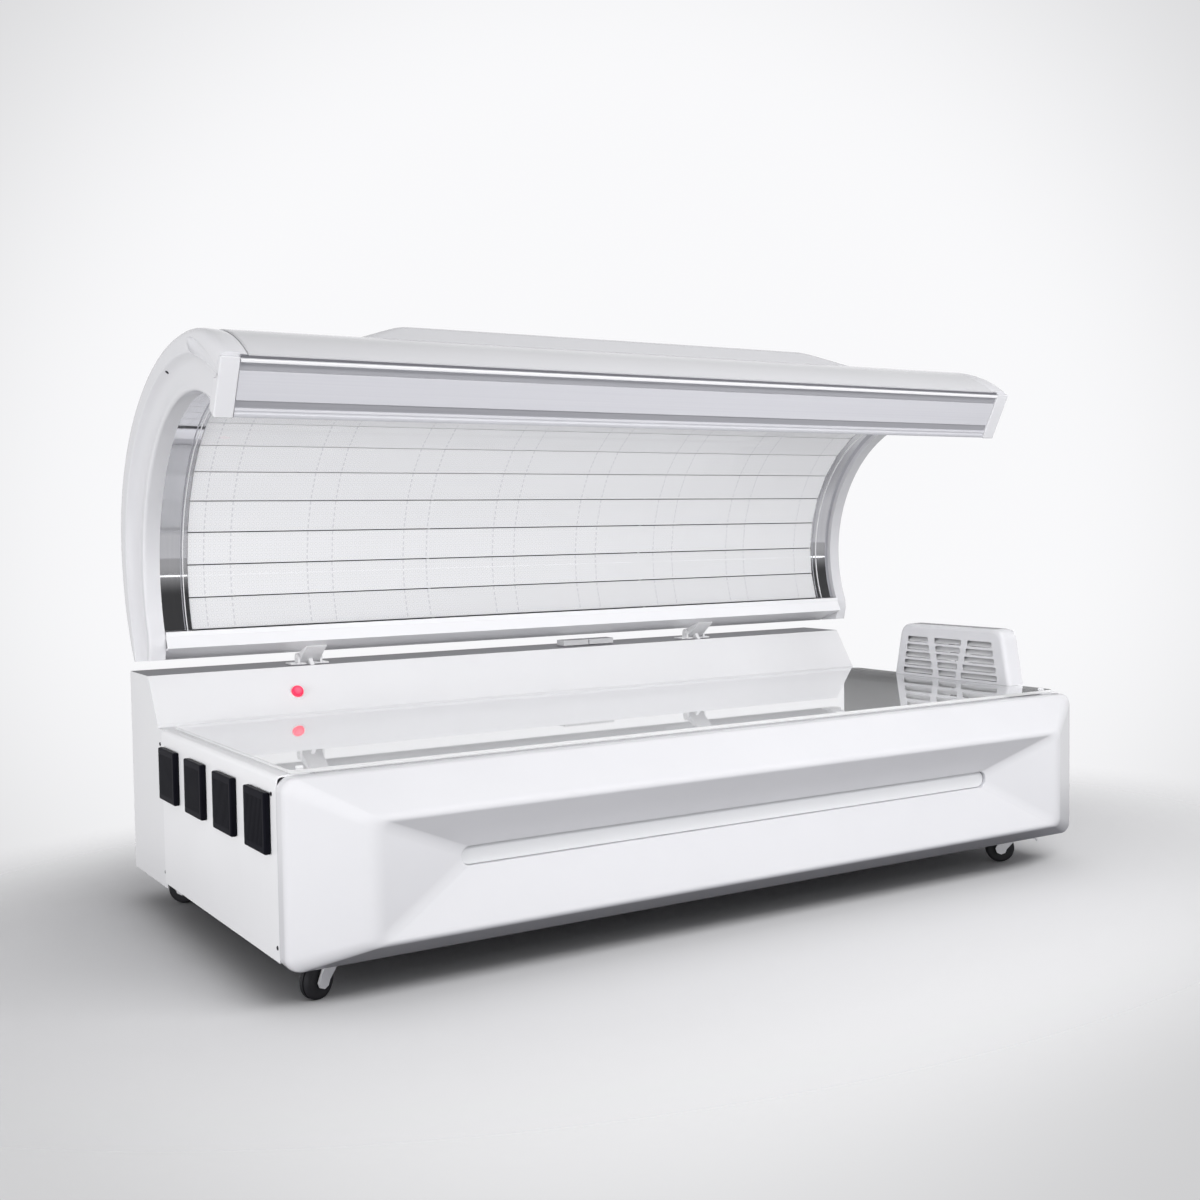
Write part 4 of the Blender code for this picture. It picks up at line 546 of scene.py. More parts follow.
def addRoom():
    # seen by the camera and in gloss the room is pale, brightest behind the object; the fill is lower
    world = bpy.data.worlds.new("studioRoom")
    scene.world = world
    world.use_nodes = True
    tree = world.node_tree
    yaw = math.radians(cameraSet["yaw"])
    ahead = (math.sin(yaw), math.cos(yaw), stageLook["roomLift"])
    toward = addNode(tree, "ShaderNodeVectorMath", {0: coordinate(tree, "Generated"), 1: ahead},
                     operation="DOT_PRODUCT").outputs["Value"]
    glow = rangeNode(tree, toward, *stageLook["roomGlow"], "SMOOTHSTEP")
    lower = rangeNode(tree, axes(tree, "Generated")["Z"], *stageLook["roomLow"], "SMOOTHSTEP")
    path = addNode(tree, "ShaderNodeLightPath").outputs
    seen = mathNode(tree, "MAXIMUM", path["Is Camera Ray"],
                    mathNode(tree, "MAXIMUM", path["Is Glossy Ray"], path["Is Transmission Ray"]))
    level = addNode(tree, "ShaderNodeMix", {"Factor": seen, "A": stageLook["fillLevel"],
                                            "B": mathNode(tree, "MULTIPLY", glow, lower)}, data_type="FLOAT")
    setInputs(tree, tree.nodes["Background"], {"Color": stageLook["roomColour"],
                                               "Strength": level.outputs["Result"]})


def flagMaterial():
    sockets = {"Base Color": rgb(0, 0, 0), "Emission Color": rgb(1, 1, 1)}
    material, tree, shader = newMaterial("flagCloth", sockets)
    fade = rangeNode(tree, axes(tree)["Y"], *stageLook["flagFade"], "SMOOTHSTEP")
    setInputs(tree, shader, {"Emission Strength": fade})
    return material


def addFlag(name, place, size, turn, material):
    # a dark panel met only by gloss, so that polished faces have their dark end
    deselectAll()
    bpy.ops.mesh.primitive_plane_add(size=1, location=place, rotation=(math.pi / 2, 0, turn))
    flag = nameActive(name)
    flag.scale = (*size, 1)
    flag.data.materials.append(material)
    flag.visible_camera = flag.visible_diffuse = flag.visible_shadow = flag.visible_transmission = False


def addLamp(name, lit, place, size, power, target=(0, 0, 0.7), mirrored=False):
    deselectAll()
    bpy.ops.object.light_add(type="AREA", location=place)
    lamp = bpy.context.object
    lamp.name = name
    lamp.data.shape = "RECTANGLE"
    lamp.data.size, lamp.data.size_y = size
    lamp.data.energy = power
    lamp.visible_glossy = mirrored
    lamp.light_linking.receiver_collection = lit
    lamp.rotation_euler = (Vector(target) - Vector(place)).to_track_quat("-Z", "Y").to_euler()


scene.view_settings.view_transform = "Standard"
addCamera()
# the low lamps leave the floor out, so that the shadow under the bed stays deep
offFloor = lampSet("offFloor", addFloor(), "EXCLUDE")
addRoom()
flagCloth = flagMaterial()
for name, flag in flags.items():
    addFlag(name, material=flagCloth, **flag)
for name, lamp in lamps.items():
    addLamp(name, None if name in floorLamps else offFloor, **lamp)
print("stage set")

# Front casing: two flat bands that slope to a crest, then in to the slot of the light bar
casing = {"steps": 7, "cornerSteps": 10, "wall": 0.0035, "loops": [
    (-0.4665, 1.100, 0.080, 0.455, 0.030), (-0.5010, 1.100, 0.080, 0.455, 0.030),
    (-0.5908, 0.951, 0.131, 0.374, 0.020), (-0.5335, 0.742, 0.246, 0.286, 0.020),
    (-0.5205, 0.742, 0.246, 0.286, 0.020)], "reach": [0, 0.010, 0.027, 0.003, 0],
    "slotDepth": (-0.5335, -0.516), "slotHalf": 0.75, "slotHeight": (0.24, 0.29), "slotTilt": 0.5}


def inSlot(face):
    # the walls of the slot, which face across it; they take painted shade
    (front, back), (low, high) = casing["slotDepth"], casing["slotHeight"]
    x, y, z = face.center
    inside = front < y < back and abs(x) < casing["slotHalf"] and low < z < high
    return inside and abs(face.normal.y) < casing["slotTilt"]


casingRows = []
for depth, half, low, high, radius in roundPath(casing["loops"], casing["reach"], casing["steps"]):
    casingRows.append([(x, depth, z) for x, z in roundedLoop(half, low, high, radius, casing["cornerSteps"])])
frontCasing = gridPiece("frontCasing", casingRows)
solidify(frontCasing, casing["wall"])
setPiece(frontCasing, "glossWhite", "base", "white_gloss", "front_casing", smooth=40)
# painted shade on the walls of the light bar's slot
paintFaces(frontCasing, "slotPaintedShade", inSlot)

bar = {"half": 0.7415, "low": 0.2465, "high": 0.2855, "radius": 0.0192, "cornerSteps": 10,
       "rims": [(-0.5208, 0), (-0.5243, 0), (-0.5255, 0.0006), (-0.5261, 0.0020)]}
barRows = []
for depth, shrink in bar["rims"]:
    loop = roundedLoop(bar["half"] - shrink, bar["low"] + shrink, bar["high"] - shrink, bar["radius"] - shrink,
                       bar["cornerSteps"])
    barRows.append([(x, depth, z) for x, z in loop])
lightBar = gridPiece("lightBar", barRows)
openRims(lightBar)
bpy.ops.mesh.edge_face_add()
closeEdit(outward=True)
setPiece(lightBar, "frostedBarPaintedShade", "base", "frosted_acrylic", "front_light_bar", smooth=40)
print("front casing made")

# Canopy: an outer skin of joined quarter ellipses round an inner arch
skin = {"centre": (-0.0435, 0.900), "rear": 0.594, "front": 0.405, "up": 0.450, "down": 0.560,
        "low": -31.5, "high": 123.6}
arch = {"centre": (0.020, 0.8265), "lip": 0.397, "lipLow": -23.0, "lipHigh": 124.7}


def skinPoint(turn, inset=0.0):
    angle = math.radians(turn)
    reachY = skin["rear"] if math.cos(angle) > 0 else skin["front"]
    reachZ = skin["up"] if math.sin(angle) > 0 else skin["down"]
    point = Vector((skin["centre"][0] + reachY * math.cos(angle), skin["centre"][1] + reachZ * math.sin(angle)))
    normal = Vector((math.cos(angle) / reachY, math.sin(angle) / reachZ)).normalized()
    return point - normal * inset


def archPoint(turn, radius):
    angle = math.radians(turn)
    return Vector((arch["centre"][0] + radius * math.cos(angle), arch["centre"][1] + radius * math.sin(angle)))


shell = {"wall": 0.004, "steps": 97, "frontBack": 0.5,
         "ends": [(1.0605, 0.003), (1.0597, 0.0021), (1.0585, 0.0012), (1.0565, 0.0005), (1.0545, 0.0)]}
shellColumns = [(-x, inset) for x, inset in shell["ends"]] + shell["ends"][::-1]
shellRows = [[(x, *skinPoint(turn, inset)) for x, inset in shellColumns]
             for turn in spread(skin["low"], skin["high"] - shell["frontBack"], shell["steps"])]
canopyShell = gridPiece("canopyShell", shellRows)
solidify(canopyShell, shell["wall"])
setPiece(canopyShell, "shellWhitePaintedShade", "canopy", "white_gloss", "canopy_shell", smooth=40)
print("canopy shell made")

# End caps: a rounded moulding from the skin round to the lip of the arch
cap = {"rows": 91, "merge": 0.00005, "smooth": 42, "noseBack": 1.15, "inner": 1.061, "lipShare": 0.9,
       "leastStep": 0.022, "foot": [(0.3854, 0.6714), (0.3835, 0.6455), (0.3920, 0.6130)],
       "outer": [(1.061, 0.0035), (1.064, 0.0027), (1.070, 0.0016), (1.078, 0.0006), (1.088, 0.0001),
                 (1.098, 0.0), (1.106, 0.0008), (1.1125, 0.0035), (1.117, 0.0080), (1.1195, 0.0145),
                 (1.120, 0.0220)],
       "step": [(1.120, 0.36), (1.1194, 0.385), (1.1170, 0.405), (1.1120, 0.435), (1.1060, 0.48),
                (1.1015, 0.54), (1.0988, 0.62), (1.0978, 0.72), (1.0982, 0.84)],
       "lip": [(1.1000, 0.0100), (1.0992, 0.0052), (1.0968, 0.0016), (1.0920, 0.0)]}


def capInner(share):
    # along the arch's lip, then down the foot
    high, part = arch["lipHigh"] - cap["noseBack"], cap["lipShare"]
    if share < part:
        return archPoint(high + (arch["lipLow"] - high) * share / part, arch["lip"])
    path = [Vector(point) for point in cap["foot"]]
    along = (share - part) / (1 - part) * 2
    index = min(int(along), 1)
    return path[index].lerp(path[index + 1], along - index)


def capPiece(name, side):
    rows = []
    high = skin["high"] - cap["noseBack"]
    for share in spread(0, 1, cap["rows"]):
        outer = skinPoint(high + (skin["low"] - high) * share)
        inner = capInner(share)
        width = (inner - outer).length
        across = (inner - outer).normalized()
        stops = list(cap["outer"])
        stops += [(x, max(part * width, cap["leastStep"])) for x, part in cap["step"]]
        stops += [(x, width - back) for x, back in cap["lip"]]
        stops += [(cap["inner"], width), (cap["inner"], cap["outer"][0][1])]
        rows.append([(side * x, *(outer + across * distance)) for x, distance in stops])
    piece = gridPiece(name, rows, cap["merge"])
    openRims(piece)
    bpy.ops.mesh.fill()
    closeEdit(outward=True)
    smoothShade(piece, cap["smooth"])
    return piece


# the nose closes the cap's front end, beside the fascia: its corners as distances out and along
nose = {"top": (-0.2675, 1.2750), "bottom": (-0.2055, 1.1520), "ends": (1.0775, 1.1194), "rounding": 0.0035,
        "corners": [("top", 0.0035, 0.004), ("bottom", 0.0035, 0), ("bottom", -0.030, -0.006),
                    ("top", -0.030, 0.014)]}
noseAlong = (Vector(nose["bottom"]) - Vector(nose["top"])).normalized()
noseOut = Vector((noseAlong.y, -noseAlong.x))
noseOutline = [Vector(nose[corner]) + noseOut * out + noseAlong * along
               for corner, out, along in nose["corners"]]
# the scoop that carries the cap's screw
scoop = {"middle": (-0.1455, 1.2800), "out": 1.1205, "half": (0.015, 0.112, 0.023), "tilt": 24.8}
for end, side in ends:
    capBody = capPiece("canopyCap" + end, side)
    noseBlock = sectionPiece("capNose" + end, noseOutline, *sorted(side * x for x in nose["ends"]))
    bevelEdges(noseBlock, nose["rounding"])
    for piece in (capBody, noseBlock):
        deselectAll()
        bpy.ops.mesh.primitive_uv_sphere_add(segments=48, ring_count=24, radius=1)
        cutter = nameActive("scoopCutter")
        placeMesh(cutter, Matrix.Translation((side * scoop["out"], *scoop["middle"]))
                  @ Matrix.Rotation(math.radians(scoop["tilt"]), 4, "X") @ Matrix.Diagonal((*scoop["half"], 1)))
        cutPiece(piece, cutter)
    setPiece(noseBlock, "glossWhite", "canopy", "white_gloss", smooth=cap["smooth"])
    setPiece(capBody, "glossWhite", "canopy", "white_gloss", "canopy_cap_" + end.lower(), smooth=cap["smooth"])
print("caps made")

# Fascia: profile as (distance down, distance out) in millimetres, with a finish for each band
fasciaShape = {"half": 1.077, "drop": 0.0035, "edge": 0.0006, "profile": [
    (0, -4), (5.6, -4), (5.6, 0.5), (7.5, 2.8), (11.7, 2.8), (13.6, 0.5), (13.6, -2), (16, -4), (22, -5),
    (28, -4), (31, -1.5), (31, 0), (95, 0), (95, -3), (112, -3), (112, 0), (117, 1), (119, -0.5), (122, -0.5),
    (124, 1), (129, 1), (133, -1.5), (133, -10), (0, -10)],
    # the groove at the fascia's top takes painted shade
    "bands": [(5.5, "paintedShadeGrey"), (13.7, "brightBead"), (30.9, "anodisedBand"), (95.1, "brushedFace"),
              (111.9, "anodisedBand"), (140, "brushedFace")]}
fasciaTop = Vector(nose["top"]) - Vector((0, fasciaShape["drop"]))
fasciaOutline = [fasciaTop + noseAlong * down / 1000 + noseOut * out / 1000
                 for down, out in fasciaShape["profile"]]
fascia = sectionPiece("canopyFascia", fasciaOutline, -fasciaShape["half"], fasciaShape["half"])
for _, finish in fasciaShape["bands"]:
    if finish not in fascia.data.materials:
        fascia.data.materials.append(finishes[finish])
for face in fascia.data.polygons:
    down = (Vector(face.center[1:]) - fasciaTop).dot(noseAlong) * 1000
    finish = next(finish for limit, finish in fasciaShape["bands"] if down < limit)
    face.material_index = fascia.data.materials.find(finish)
bevelEdges(fascia, fasciaShape["edge"], segments=2)
setPiece(fascia, None, "canopy", "brushed_aluminium", "canopy_fascia", smooth=40)
print("fascia made")

# Roof cover: a soft-edged box that sits on the skin, on a grid that is closer at its edges
hump = {"toe": 0.735, "top": 0.608, "height": 1.3905, "frontToe": -0.063, "frontShoulder": 0.0,
        "rearShoulder": 0.200, "rearToe": 0.360, "soft": 0.010, "crown": 0.0005, "sunk": 0.004, "wall": 0.003,
        "across": [(-0.742, -0.590, 27), (-0.5, 0.5, 6), (0.590, 0.742, 27)],
        "back": [(-0.069, 0.020, 23), (0.05, 0.17, 4), (0.182, 0.366, 30)]}


def skinHeight(y):
    reach = skin["rear"] if y > skin["centre"][0] else skin["front"]
    return skin["centre"][1] + skin["up"] * math.sqrt(1 - ((y - skin["centre"][0]) / reach) ** 2)


def softMin(first, second):
    blend = max(hump["soft"] - abs(first - second), 0) / hump["soft"]
    return min(first, second) - blend * blend * hump["soft"] / 4


def humpHeight(x, y):
    frontLow, rearLow, low = [skinHeight(place) for place in (hump["frontToe"], hump["rearToe"], y)]
    slope = (hump["height"] - frontLow) / (hump["frontShoulder"] - hump["frontToe"])
    front = frontLow + slope * (y - hump["frontToe"])
    fall = (hump["height"] - rearLow) / (hump["rearToe"] - hump["rearShoulder"])
    rear = rearLow + fall * (hump["rearToe"] - y)
    sides = low + (hump["toe"] - abs(x)) / (hump["toe"] - hump["top"]) * (hump["height"] - low)
    height = softMin(softMin(front, rear), hump["height"] + hump["crown"])
    return max(softMin(height, sides), low - hump["sunk"])


humpXs, humpYs = [[place for part in hump[way] for place in spread(*part)] for way in ("across", "back")]
roofCover = gridPiece("canopyRoofCover", [[(x, y, humpHeight(x, y)) for x in humpXs] for y in humpYs])
solidify(roofCover, hump["wall"])
setPiece(roofCover, "shellWhitePaintedShade", "canopy", "white_gloss", "canopy_roof_cover", smooth=40)

# Arch lining: boards, a dark sheet behind them that paints the shade in their gaps, the clear sheet in front
# and the polished ends.
# The dark sheet and the clear sheet as radius and thickness, ends as their reach along X
lining = {"sheet": (0.4000, 0.0035), "sheetTurns": (-22.0, 113.0), "sheetHalf": 1.003, "boardRadius": 0.410,
          "boardLow": -20.6, "boards": 12, "pitch": 0.080, "gap": 0.0026, "boardHalf": 0.990,
          "boardThick": 0.005, "boardEdge": 0.0006, "backing": (0.4172, 0.0015), "mirrorThick": 0.003,
          "mirror": (0.9905, 1.0605), "rim": (1.0032, 1.0052), "rimProud": 0.0004, "edge": 0.0008}
boardStep = math.degrees(2 * math.asin(lining["pitch"] / 2 / lining["boardRadius"]))
boardTurns = (lining["boardLow"], lining["boardLow"] + lining["boards"] * boardStep)


def arcSheet(name, radius, thickness, turns, reach, finish, slot, *stoodFor, steps=81):
    rows = [[(x, *archPoint(turn, radius)) for x in reach] for turn in spread(*turns, steps)]
    piece = gridPiece(name, rows)
    outward = piece.data.polygons[steps // 2]
    middle = Vector(outward.center[1:]) - Vector(arch["centre"])
    facing = Vector(outward.normal[1:]).dot(middle) > 0
    solidify(piece, thickness, 1.0 if facing else -1.0)
    bevelEdges(piece, min(lining["edge"], thickness / 4), segments=2, angle=50)
    setPiece(piece, finish, "canopy", slot, *stoodFor, smooth=40)


def boardSlab(middle, top, thick):
    # one board flat in X and Y, mapped along its length and across it
    halfWidth = (lining["pitch"] - lining["gap"]) / 2
    low = (-lining["boardHalf"], middle - halfWidth, top - thick)
    high = (lining["boardHalf"], middle + halfWidth, top)
    slab = boxPiece("board", low, high, lining["boardEdge"], segments=2)
    layer = slab.data.uv_layers.active or slab.data.uv_layers.new(name="boardMap")
    for loop in slab.data.loops:
        point = slab.data.vertices[loop.vertex_index].co
        layer.data[loop.index].uv = [(point[axis] - low[axis]) / (high[axis] - low[axis]) for axis in (0, 1)]
    return slab


slabs = []
boardFace = lining["boardRadius"] * math.cos(math.radians(boardStep / 2))
for index in range(lining["boards"]):
    slab = boardSlab(0, 0, lining["boardThick"])
    turn = lining["boardLow"] + (index + 0.5) * boardStep
    lift = Vector((0, -math.cos(math.radians(turn)), -math.sin(math.radians(turn))))
    along = Vector((1, 0, 0))
    place = Matrix((along, lift.cross(along), lift)).transposed().to_4x4()
    placeMesh(slab, Matrix.Translation((0, *archPoint(turn, boardFace))) @ place)
    slabs.append(slab)
canopyBoards = joinPieces("canopyBoards", slabs)
setPiece(canopyBoards, "ledBoard", "canopy", "board_white", "canopy_led_board", smooth=30)
# the boards take a low lamp of their own in place of the deck's
bpy.data.objects["deckFill"].light_linking.receiver_collection = lampSet("offBoards", canopyBoards, "EXCLUDE")
addLamp("archFill", lampSet("onBoards", canopyBoards, "INCLUDE"), **archFill)
# a dark sheet behind the boards' gaps: painted shade
arcSheet("boardBacking", *lining["backing"], boardTurns, (-lining["boardHalf"], lining["boardHalf"]),
         "shadowGap", "frame_aluminium", steps=25)
arcSheet("canopySheet", *lining["sheet"], lining["sheetTurns"], (-lining["sheetHalf"], lining["sheetHalf"]),
         "clearSheet", "clear_acrylic", "canopy_acrylic")
radius, thickness = lining["sheet"]
for end, side in ends:
    arcSheet("sheetEdge" + end, radius - lining["rimProud"], thickness + 2 * lining["rimProud"],
             lining["sheetTurns"], sorted(side * x for x in lining["rim"]), "brightBead", "polished_metal")
for end, side in ends:
    arcSheet("canopyMirror" + end, lining["boardRadius"], lining["mirrorThick"], boardTurns,
             sorted(side * x for x in lining["mirror"]), "polishedSteel", "polished_metal",
             "canopy_mirror_" + end.lower())
lip = {"middle": 0.3851, "half": 0.0033, "low": 0.6668, "high": 0.6812, "radius": 0.0030, "cornerSteps": 6,
       "reach": 1.0600}
lipLoop = roundedLoop(lip["half"], lip["low"], lip["high"], lip["radius"], lip["cornerSteps"])[:-1]
railBead = sectionPiece("railBead", [(lip["middle"] + y, z) for y, z in lipLoop], -lip["reach"], lip["reach"])
setPiece(railBead, "railWhite", "canopy", "white_steel", smooth=40)
print("arch lining made")

# Deck: clear slab over white boards, polished strips beyond the boards
deck = {"half": 1.0715, "low": -0.4725, "high": 0.3045, "corner": 0.020, "cornerSteps": 8, "top": 0.465,
        "thick": 0.008, "edge": 0.0016, "boardTop": 0.4413, "boardThick": 0.0055, "boards": 9, "middle": -0.084,
        "strip": (0.9915, 1.060), "stripTop": 0.4420, "stripLow": 0.4383, "stripEdge": 0.0006,
        "stud": (1.045, -0.4485), "studProfile": [(0.0005, 0.0002), (0.0075, 0.0002), (0.0075, 0.0022),
                                                  (0.0065, 0.0034), (0.0030, 0.0040), (0.0005, 0.0040)]}
deckLoop = roundedLoop(deck["half"], deck["low"], deck["high"], deck["corner"], deck["cornerSteps"])[:-1]
deckSheet = extrudedPiece("deckSheet", [(x, y, deck["top"] - deck["thick"]) for x, y in deckLoop],
                          (0, 0, deck["thick"]))
bevelEdges(deckSheet, deck["edge"], angle=45)
setPiece(deckSheet, "deckSheet", "base", "clear_acrylic", "deck_acrylic", smooth=35)
slabs = []
for index in range(deck["boards"]):
    middle = deck["middle"] + (index - (deck["boards"] - 1) / 2) * lining["pitch"]
    slabs.append(boardSlab(middle, deck["boardTop"], deck["boardThick"]))
setPiece(joinPieces("deckBoards", slabs), "deckBoardPaintedLight", "base", "board_white", "deck_led_board", smooth=30)
stripReach = lining["pitch"] * deck["boards"] / 2
for end, side in ends:
    left, right = sorted(side * x for x in deck["strip"])
    strip = boxPiece("deckStrip" + end, (left, deck["middle"] - stripReach, deck["stripLow"]),
                     (right, deck["middle"] + stripReach, deck["stripTop"]), deck["stripEdge"], segments=2)
    setPiece(strip, "polishedSteel", "base", "polished_metal")
for end, side in ends:
    place = (side * deck["stud"][0], deck["stud"][1], deck["top"])
    stud = turnedPiece("deckStud" + end, deck["studProfile"], (0, 0, 1), place, steps=32)
    setPiece(stud, "brightBead", "base", "polished_metal", smooth=40)
print("deck made")

# Pieces whose CAD shape is right and only wants soft edges: rounding, finish, body, slot
softened = {
    # the console's darker white is painted shade
    "console_shell": (0.0030, "consoleWhitePaintedShade", "base", "white_steel"),
    "console_rear_panel": (0.0010, "powderWhite", "base", "white_steel"),
    "end_panel_foot": (0.0010, "powderWhite", "base", "white_steel"),
    "end_panel_head": (0.0010, "powderWhite", "base", "white_steel"),
    "cable_duct": (0.0020, "powderWhite", "base", "black_plastic"),
    "canopy_lower_rail": (0.0016, "railWhite", "canopy", "white_steel"),
    "hinge_arm_foot": (0.0012, "powderWhite", "canopy", "painted_steel"),
    "hinge_arm_head": (0.0012, "powderWhite", "canopy", "painted_steel"),
    "hinge_bracket_foot": (0.0010, "powderWhite", "base", "painted_steel"),
    "hinge_bracket_head": (0.0010, "powderWhite", "base", "painted_steel"),
    "vent_back_panel": (0.0010, "powderWhite", "base", "white_gloss"),
    "mains_inlet": (0.0008, "blackPlastic", "base", "black_plastic"),
    "mains_rocker": (0.0008, "blackPlastic", "mains_rocker", "black_plastic"),
    "base_frame": (0.0015, "frameAluminium", "base", "frame_aluminium"),
}
for corner in ("front_foot", "front_head", "rear_foot", "rear_head"):
    fork, pedal = "caster_fork_" + corner, "caster_pedal_" + corner
    softened[fork] = (0.0014, "zincSteel", fork, "zinc_steel")
    softened[pedal] = (0.0018, "zincSteel", pedal, "black_plastic")
for node, (rounding, finish, body, slot) in softened.items():
    setPiece(refinedCopy(node, rounding), finish, body, slot, node, smooth=30)
print("softened pieces made:", len(softened))

# Head-end vent: a rounded trapezoid with three columns of slots and slanted slats behind them
vent = {"middle": -0.123, "front": 1.035, "frontSpan": 0.0002, "bottom": 0.4655, "top": 0.618,
        "halfBottom": 0.2243, "halfTop": 0.1955, "corner": 0.034, "wall": 0.003,
        "rim": [(1.0895, 0), (1.049, 0), (1.0425, 0.0012), (1.0385, 0.0038), (1.0362, 0.0075), (1.035, 0.0125)],
        "slotTop": 0.582, "slotPitch": 0.0232, "slotHeight": 0.0165, "slotRound": 0.0055,
        "slotCut": (1.029, 1.042), "rows": 5,
        "columns": [((0.0441, -0.0379), (0.0622, -0.0580)), ((-0.0630, -0.1690), (-0.0789, -0.1490)),
                    ((-0.1910, -0.2830), (-0.1670, -0.3030))],
        "slat": (0.0215, 0.0012, 40.0), "slatEdge": 0.0003, "slatPlace": 1.0475, "slatEnds": (-0.310, 0.068)}


def ventLoop(inset):
    corners = [(vent["middle"] - vent["halfBottom"] + inset, vent["bottom"]),
               (vent["middle"] + vent["halfBottom"] - inset, vent["bottom"]),
               (vent["middle"] + vent["halfTop"] - inset, vent["top"] - inset),
               (vent["middle"] - vent["halfTop"] + inset, vent["top"] - inset)]
    loop = roundPath(corners, [0, 0, vent["corner"], vent["corner"]], steps=8, closed=True)
    return loop + loop[:1]


def closeFront(piece):
    # one face across the housing's front
    openEdit(piece, "DESELECT")
    bpy.ops.mesh.select_mode(type="VERT")
    closeEdit()
    for vert in piece.data.vertices:
        vert.select = abs(vert.co.x - vent["front"]) < vent["frontSpan"]
    bpy.ops.object.mode_set(mode="EDIT")
    bpy.ops.mesh.edge_face_add()
    closeEdit(outward=True)


def ventSlots():
    slots = []
    for row in range(vent["rows"]):
        share = row / (vent["rows"] - 1)
        top = vent["slotTop"] - row * vent["slotPitch"]
        bottom = top - vent["slotHeight"]
        for high, low in vent["columns"]:
            rear, front = [a + (b - a) * share for a, b in zip(high, low)]
            corners = [(front, bottom), (rear, bottom), (rear, top), (front, top)]
            outline = roundPath(corners, [vent["slotRound"]] * 4, steps=4, closed=True)
            slots.append(sectionPiece("slot", outline, *vent["slotCut"]))
    return joinPieces("ventSlots", slots)


ventHousing = gridPiece("ventHousing", [[(x, y, z) for y, z in ventLoop(inset)] for x, inset in vent["rim"]])
closeFront(ventHousing)
solidify(ventHousing, vent["wall"])
cutPiece(ventHousing, ventSlots())
setPiece(ventHousing, "glossWhite", "base", "white_gloss", "vent_housing", smooth=35)
slats = []
width, thickness, tilt = vent["slat"]
for row in range(vent["rows"]):
    slat = boxPiece("slat", (-width / 2, vent["slatEnds"][0], -thickness / 2),
                    (width / 2, vent["slatEnds"][1], thickness / 2), vent["slatEdge"], segments=1)
    height = vent["slotTop"] - row * vent["slotPitch"] - vent["slotHeight"] / 2
    turn = Matrix.Rotation(math.radians(-tilt), 4, "Y")
    placeMesh(slat, Matrix.Translation((vent["slatPlace"], 0, height)) @ turn)
    slats.append(slat)
setPiece(joinPieces("ventSlats", slats), "powderWhite", "base", "white_gloss")
print("vent made")

# Lit button in its ring, square to the console's slope
for name, profile, finish, body, slot, node in (
        ("startButton", button["dome"], "litRed", "start_button", "red_plastic", "start_button"),
        ("buttonBezel", button["ring"], "zincSteel", "base", "polished_metal", "button_bezel")):
    piece = turnedPiece(name, profile, button["axis"], button["place"])
    setPiece(piece, finish, body, slot, node, smooth=40)

# Caster wheels: a grooved tyre, turned about each caster's own axle
wheel = {"swivels": {"front_foot": (-0.98, -0.412, 25), "front_head": (0.98, -0.412, -37),
                     "rear_foot": (-0.98, 0.4465, -38), "rear_head": (0.98, 0.4465, 20)},
         "trail": 0.036, "height": 0.0375, "half": [(0.0052, 0.0125), (0.0120, 0.0138), (0.0200, 0.0122),
                                                    (0.0270, 0.0138), (0.0335, 0.0130), (0.0364, 0.0106),
                                                    (0.0375, 0.0068), (0.0375, 0.0017), (0.0351, 0.0010)]}
tread = [(radius, -side) for radius, side in wheel["half"]] + wheel["half"][::-1]
for corner, (x, y, turn) in wheel["swivels"].items():
    angle = math.radians(turn)
    place = (x - wheel["trail"] * math.cos(angle), y - wheel["trail"] * math.sin(angle), wheel["height"])
    node = "caster_wheel_" + corner
    tyre = turnedPiece(camelName(node), tread, (-math.sin(angle), math.cos(angle), 0), place)
    setPiece(tyre, "blackRubber", node, "black_rubber", node, smooth=35)
print("button and wheels made")

# Fan covers: black plates with soft edges and fine upright slits
cover = {"centres": (0.2278, 0.0271, -0.1737, -0.3744), "height": 0.360, "half": 0.0605, "face": -1.1140,
         "back": -1.1004, "rounding": 0.0035, "slits": 13, "slitPitch": 0.0076, "slitHalfWidth": 0.0011,
         "slitHalf": 0.0470, "slitEdge": 0.0006, "slitPast": 0.004}


def coverBox(name, middle, halfWidth, halfHeight, past, rounding, segments):
    low = (cover["face"] - past, middle - halfWidth, cover["height"] - halfHeight)
    high = (cover["back"] + past, middle + halfWidth, cover["height"] + halfHeight)
    return boxPiece(name, low, high, rounding, segments)


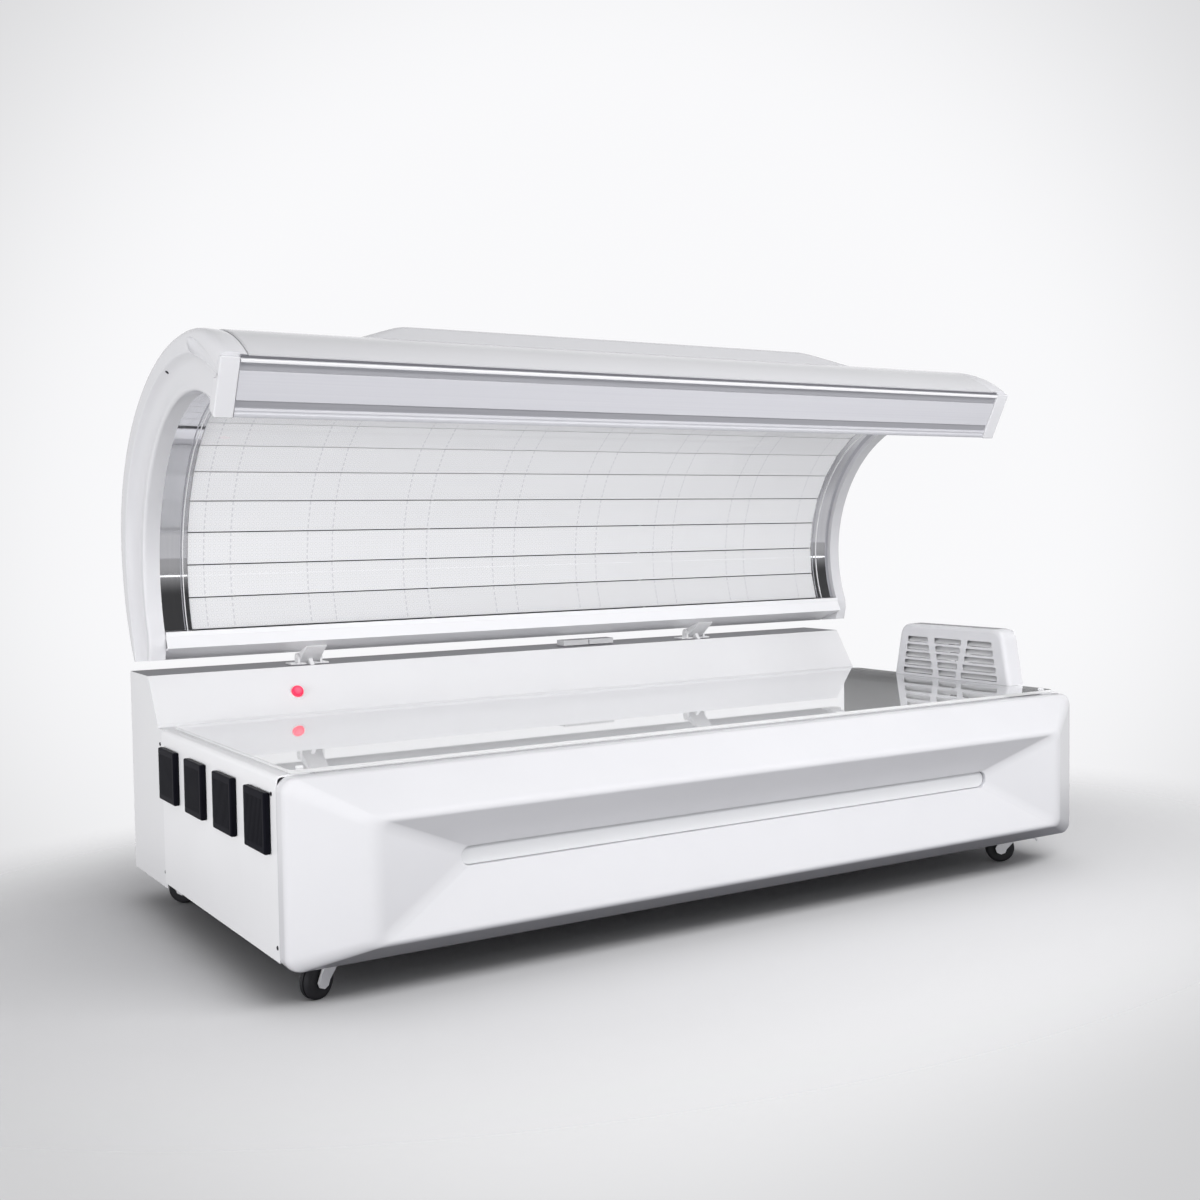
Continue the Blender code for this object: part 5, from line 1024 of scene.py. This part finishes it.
for index, middle in enumerate(cover["centres"]):
    plate = coverBox("fanCover%d" % (index + 1), middle, cover["half"], cover["half"], past=0,
                     rounding=cover["rounding"], segments=4)
    slits = []
    for slit in range(cover["slits"]):
        y = middle + (slit - (cover["slits"] - 1) / 2) * cover["slitPitch"]
        slits.append(coverBox("slit", y, cover["slitHalfWidth"], cover["slitHalf"], past=cover["slitPast"],
                              rounding=cover["slitEdge"], segments=1))
    cutPiece(plate, joinPieces("slits", slits))
    setPiece(plate, "blackPlastic", "base", "black_plastic", "fan_cover_%d" % (index + 1), smooth=35)
print("fan covers made")

# Screws of the end panels, the console's ends and the caps, set on the faces that carry them.
# Known fault: the nose's place misses its block, so that each end's fifth screw stays at the origin
screw = {"panel": [(-0.4405, 0.4185), (-0.456, 0.1225)], "console": [(0.320, 0.117), (0.3355, 0.420)],
         "nose": (-0.214, 1.2605), "cap": (0.1335, 1.275), "seekFrom": 1.3,
         "head": [(0.0004, -0.0010), (0.0046, -0.0010), (0.0046, 0.0004), (0.0040, 0.0012), (0.0028, 0.0015),
                  (0.0026, 0.0006), (0.0004, 0.0005)]}
for end, side in ends:
    carriers = [("endPanel" + end, "base", point) for point in screw["panel"]]
    carriers += [("consoleShell", "base", point) for point in screw["console"]]
    carriers += [("capNose" + end, "canopy", screw["nose"]), ("canopyCap" + end, "canopy", screw["cap"])]
    for index, (carrier, body, (y, z)) in enumerate(carriers):
        start = (side * screw["seekFrom"], y, z)
        _, place, normal, _ = bpy.data.objects[carrier].ray_cast(start, (-side, 0, 0))
        head = turnedPiece("screw%s%d" % (end, index + 1), screw["head"], normal, place, steps=24)
        setPiece(head, "darkSteel", body, "zinc_steel", smooth=40)

# The console's top and the duct's top get a dark grey: painted shade from the canopy above them
paintedShadeTop = {"level": 0.98, "above": 0.573}
for name in ("consoleShell", "cableDuct"):
    paintFaces(bpy.data.objects[name], "paintedShadeGrey",
               lambda face: face.normal.z > paintedShadeTop["level"] and face.center.z > paintedShadeTop["above"])

# Nodes kept as they are
kept = {"frameAluminium": ["canopy_frame"], "paintedSteel": ["control_unit", "power_supply"],
        "zincSteel": ["gas_spring_rod_foot", "gas_spring_rod_head"],
        "blackPlastic": ["fan_tray", "gas_spring_cylinder_foot", "gas_spring_cylinder_head", "vent_fan_rotor",
                         "fan_rotor_1", "fan_rotor_2", "fan_rotor_3", "fan_rotor_4"]}
for finish, names in kept.items():
    for node in names:
        nodes[node].data.materials.clear()
        nodes[node].data.materials.append(finishes[finish])
print("kept nodes finished:", sum(len(names) for names in kept.values()))
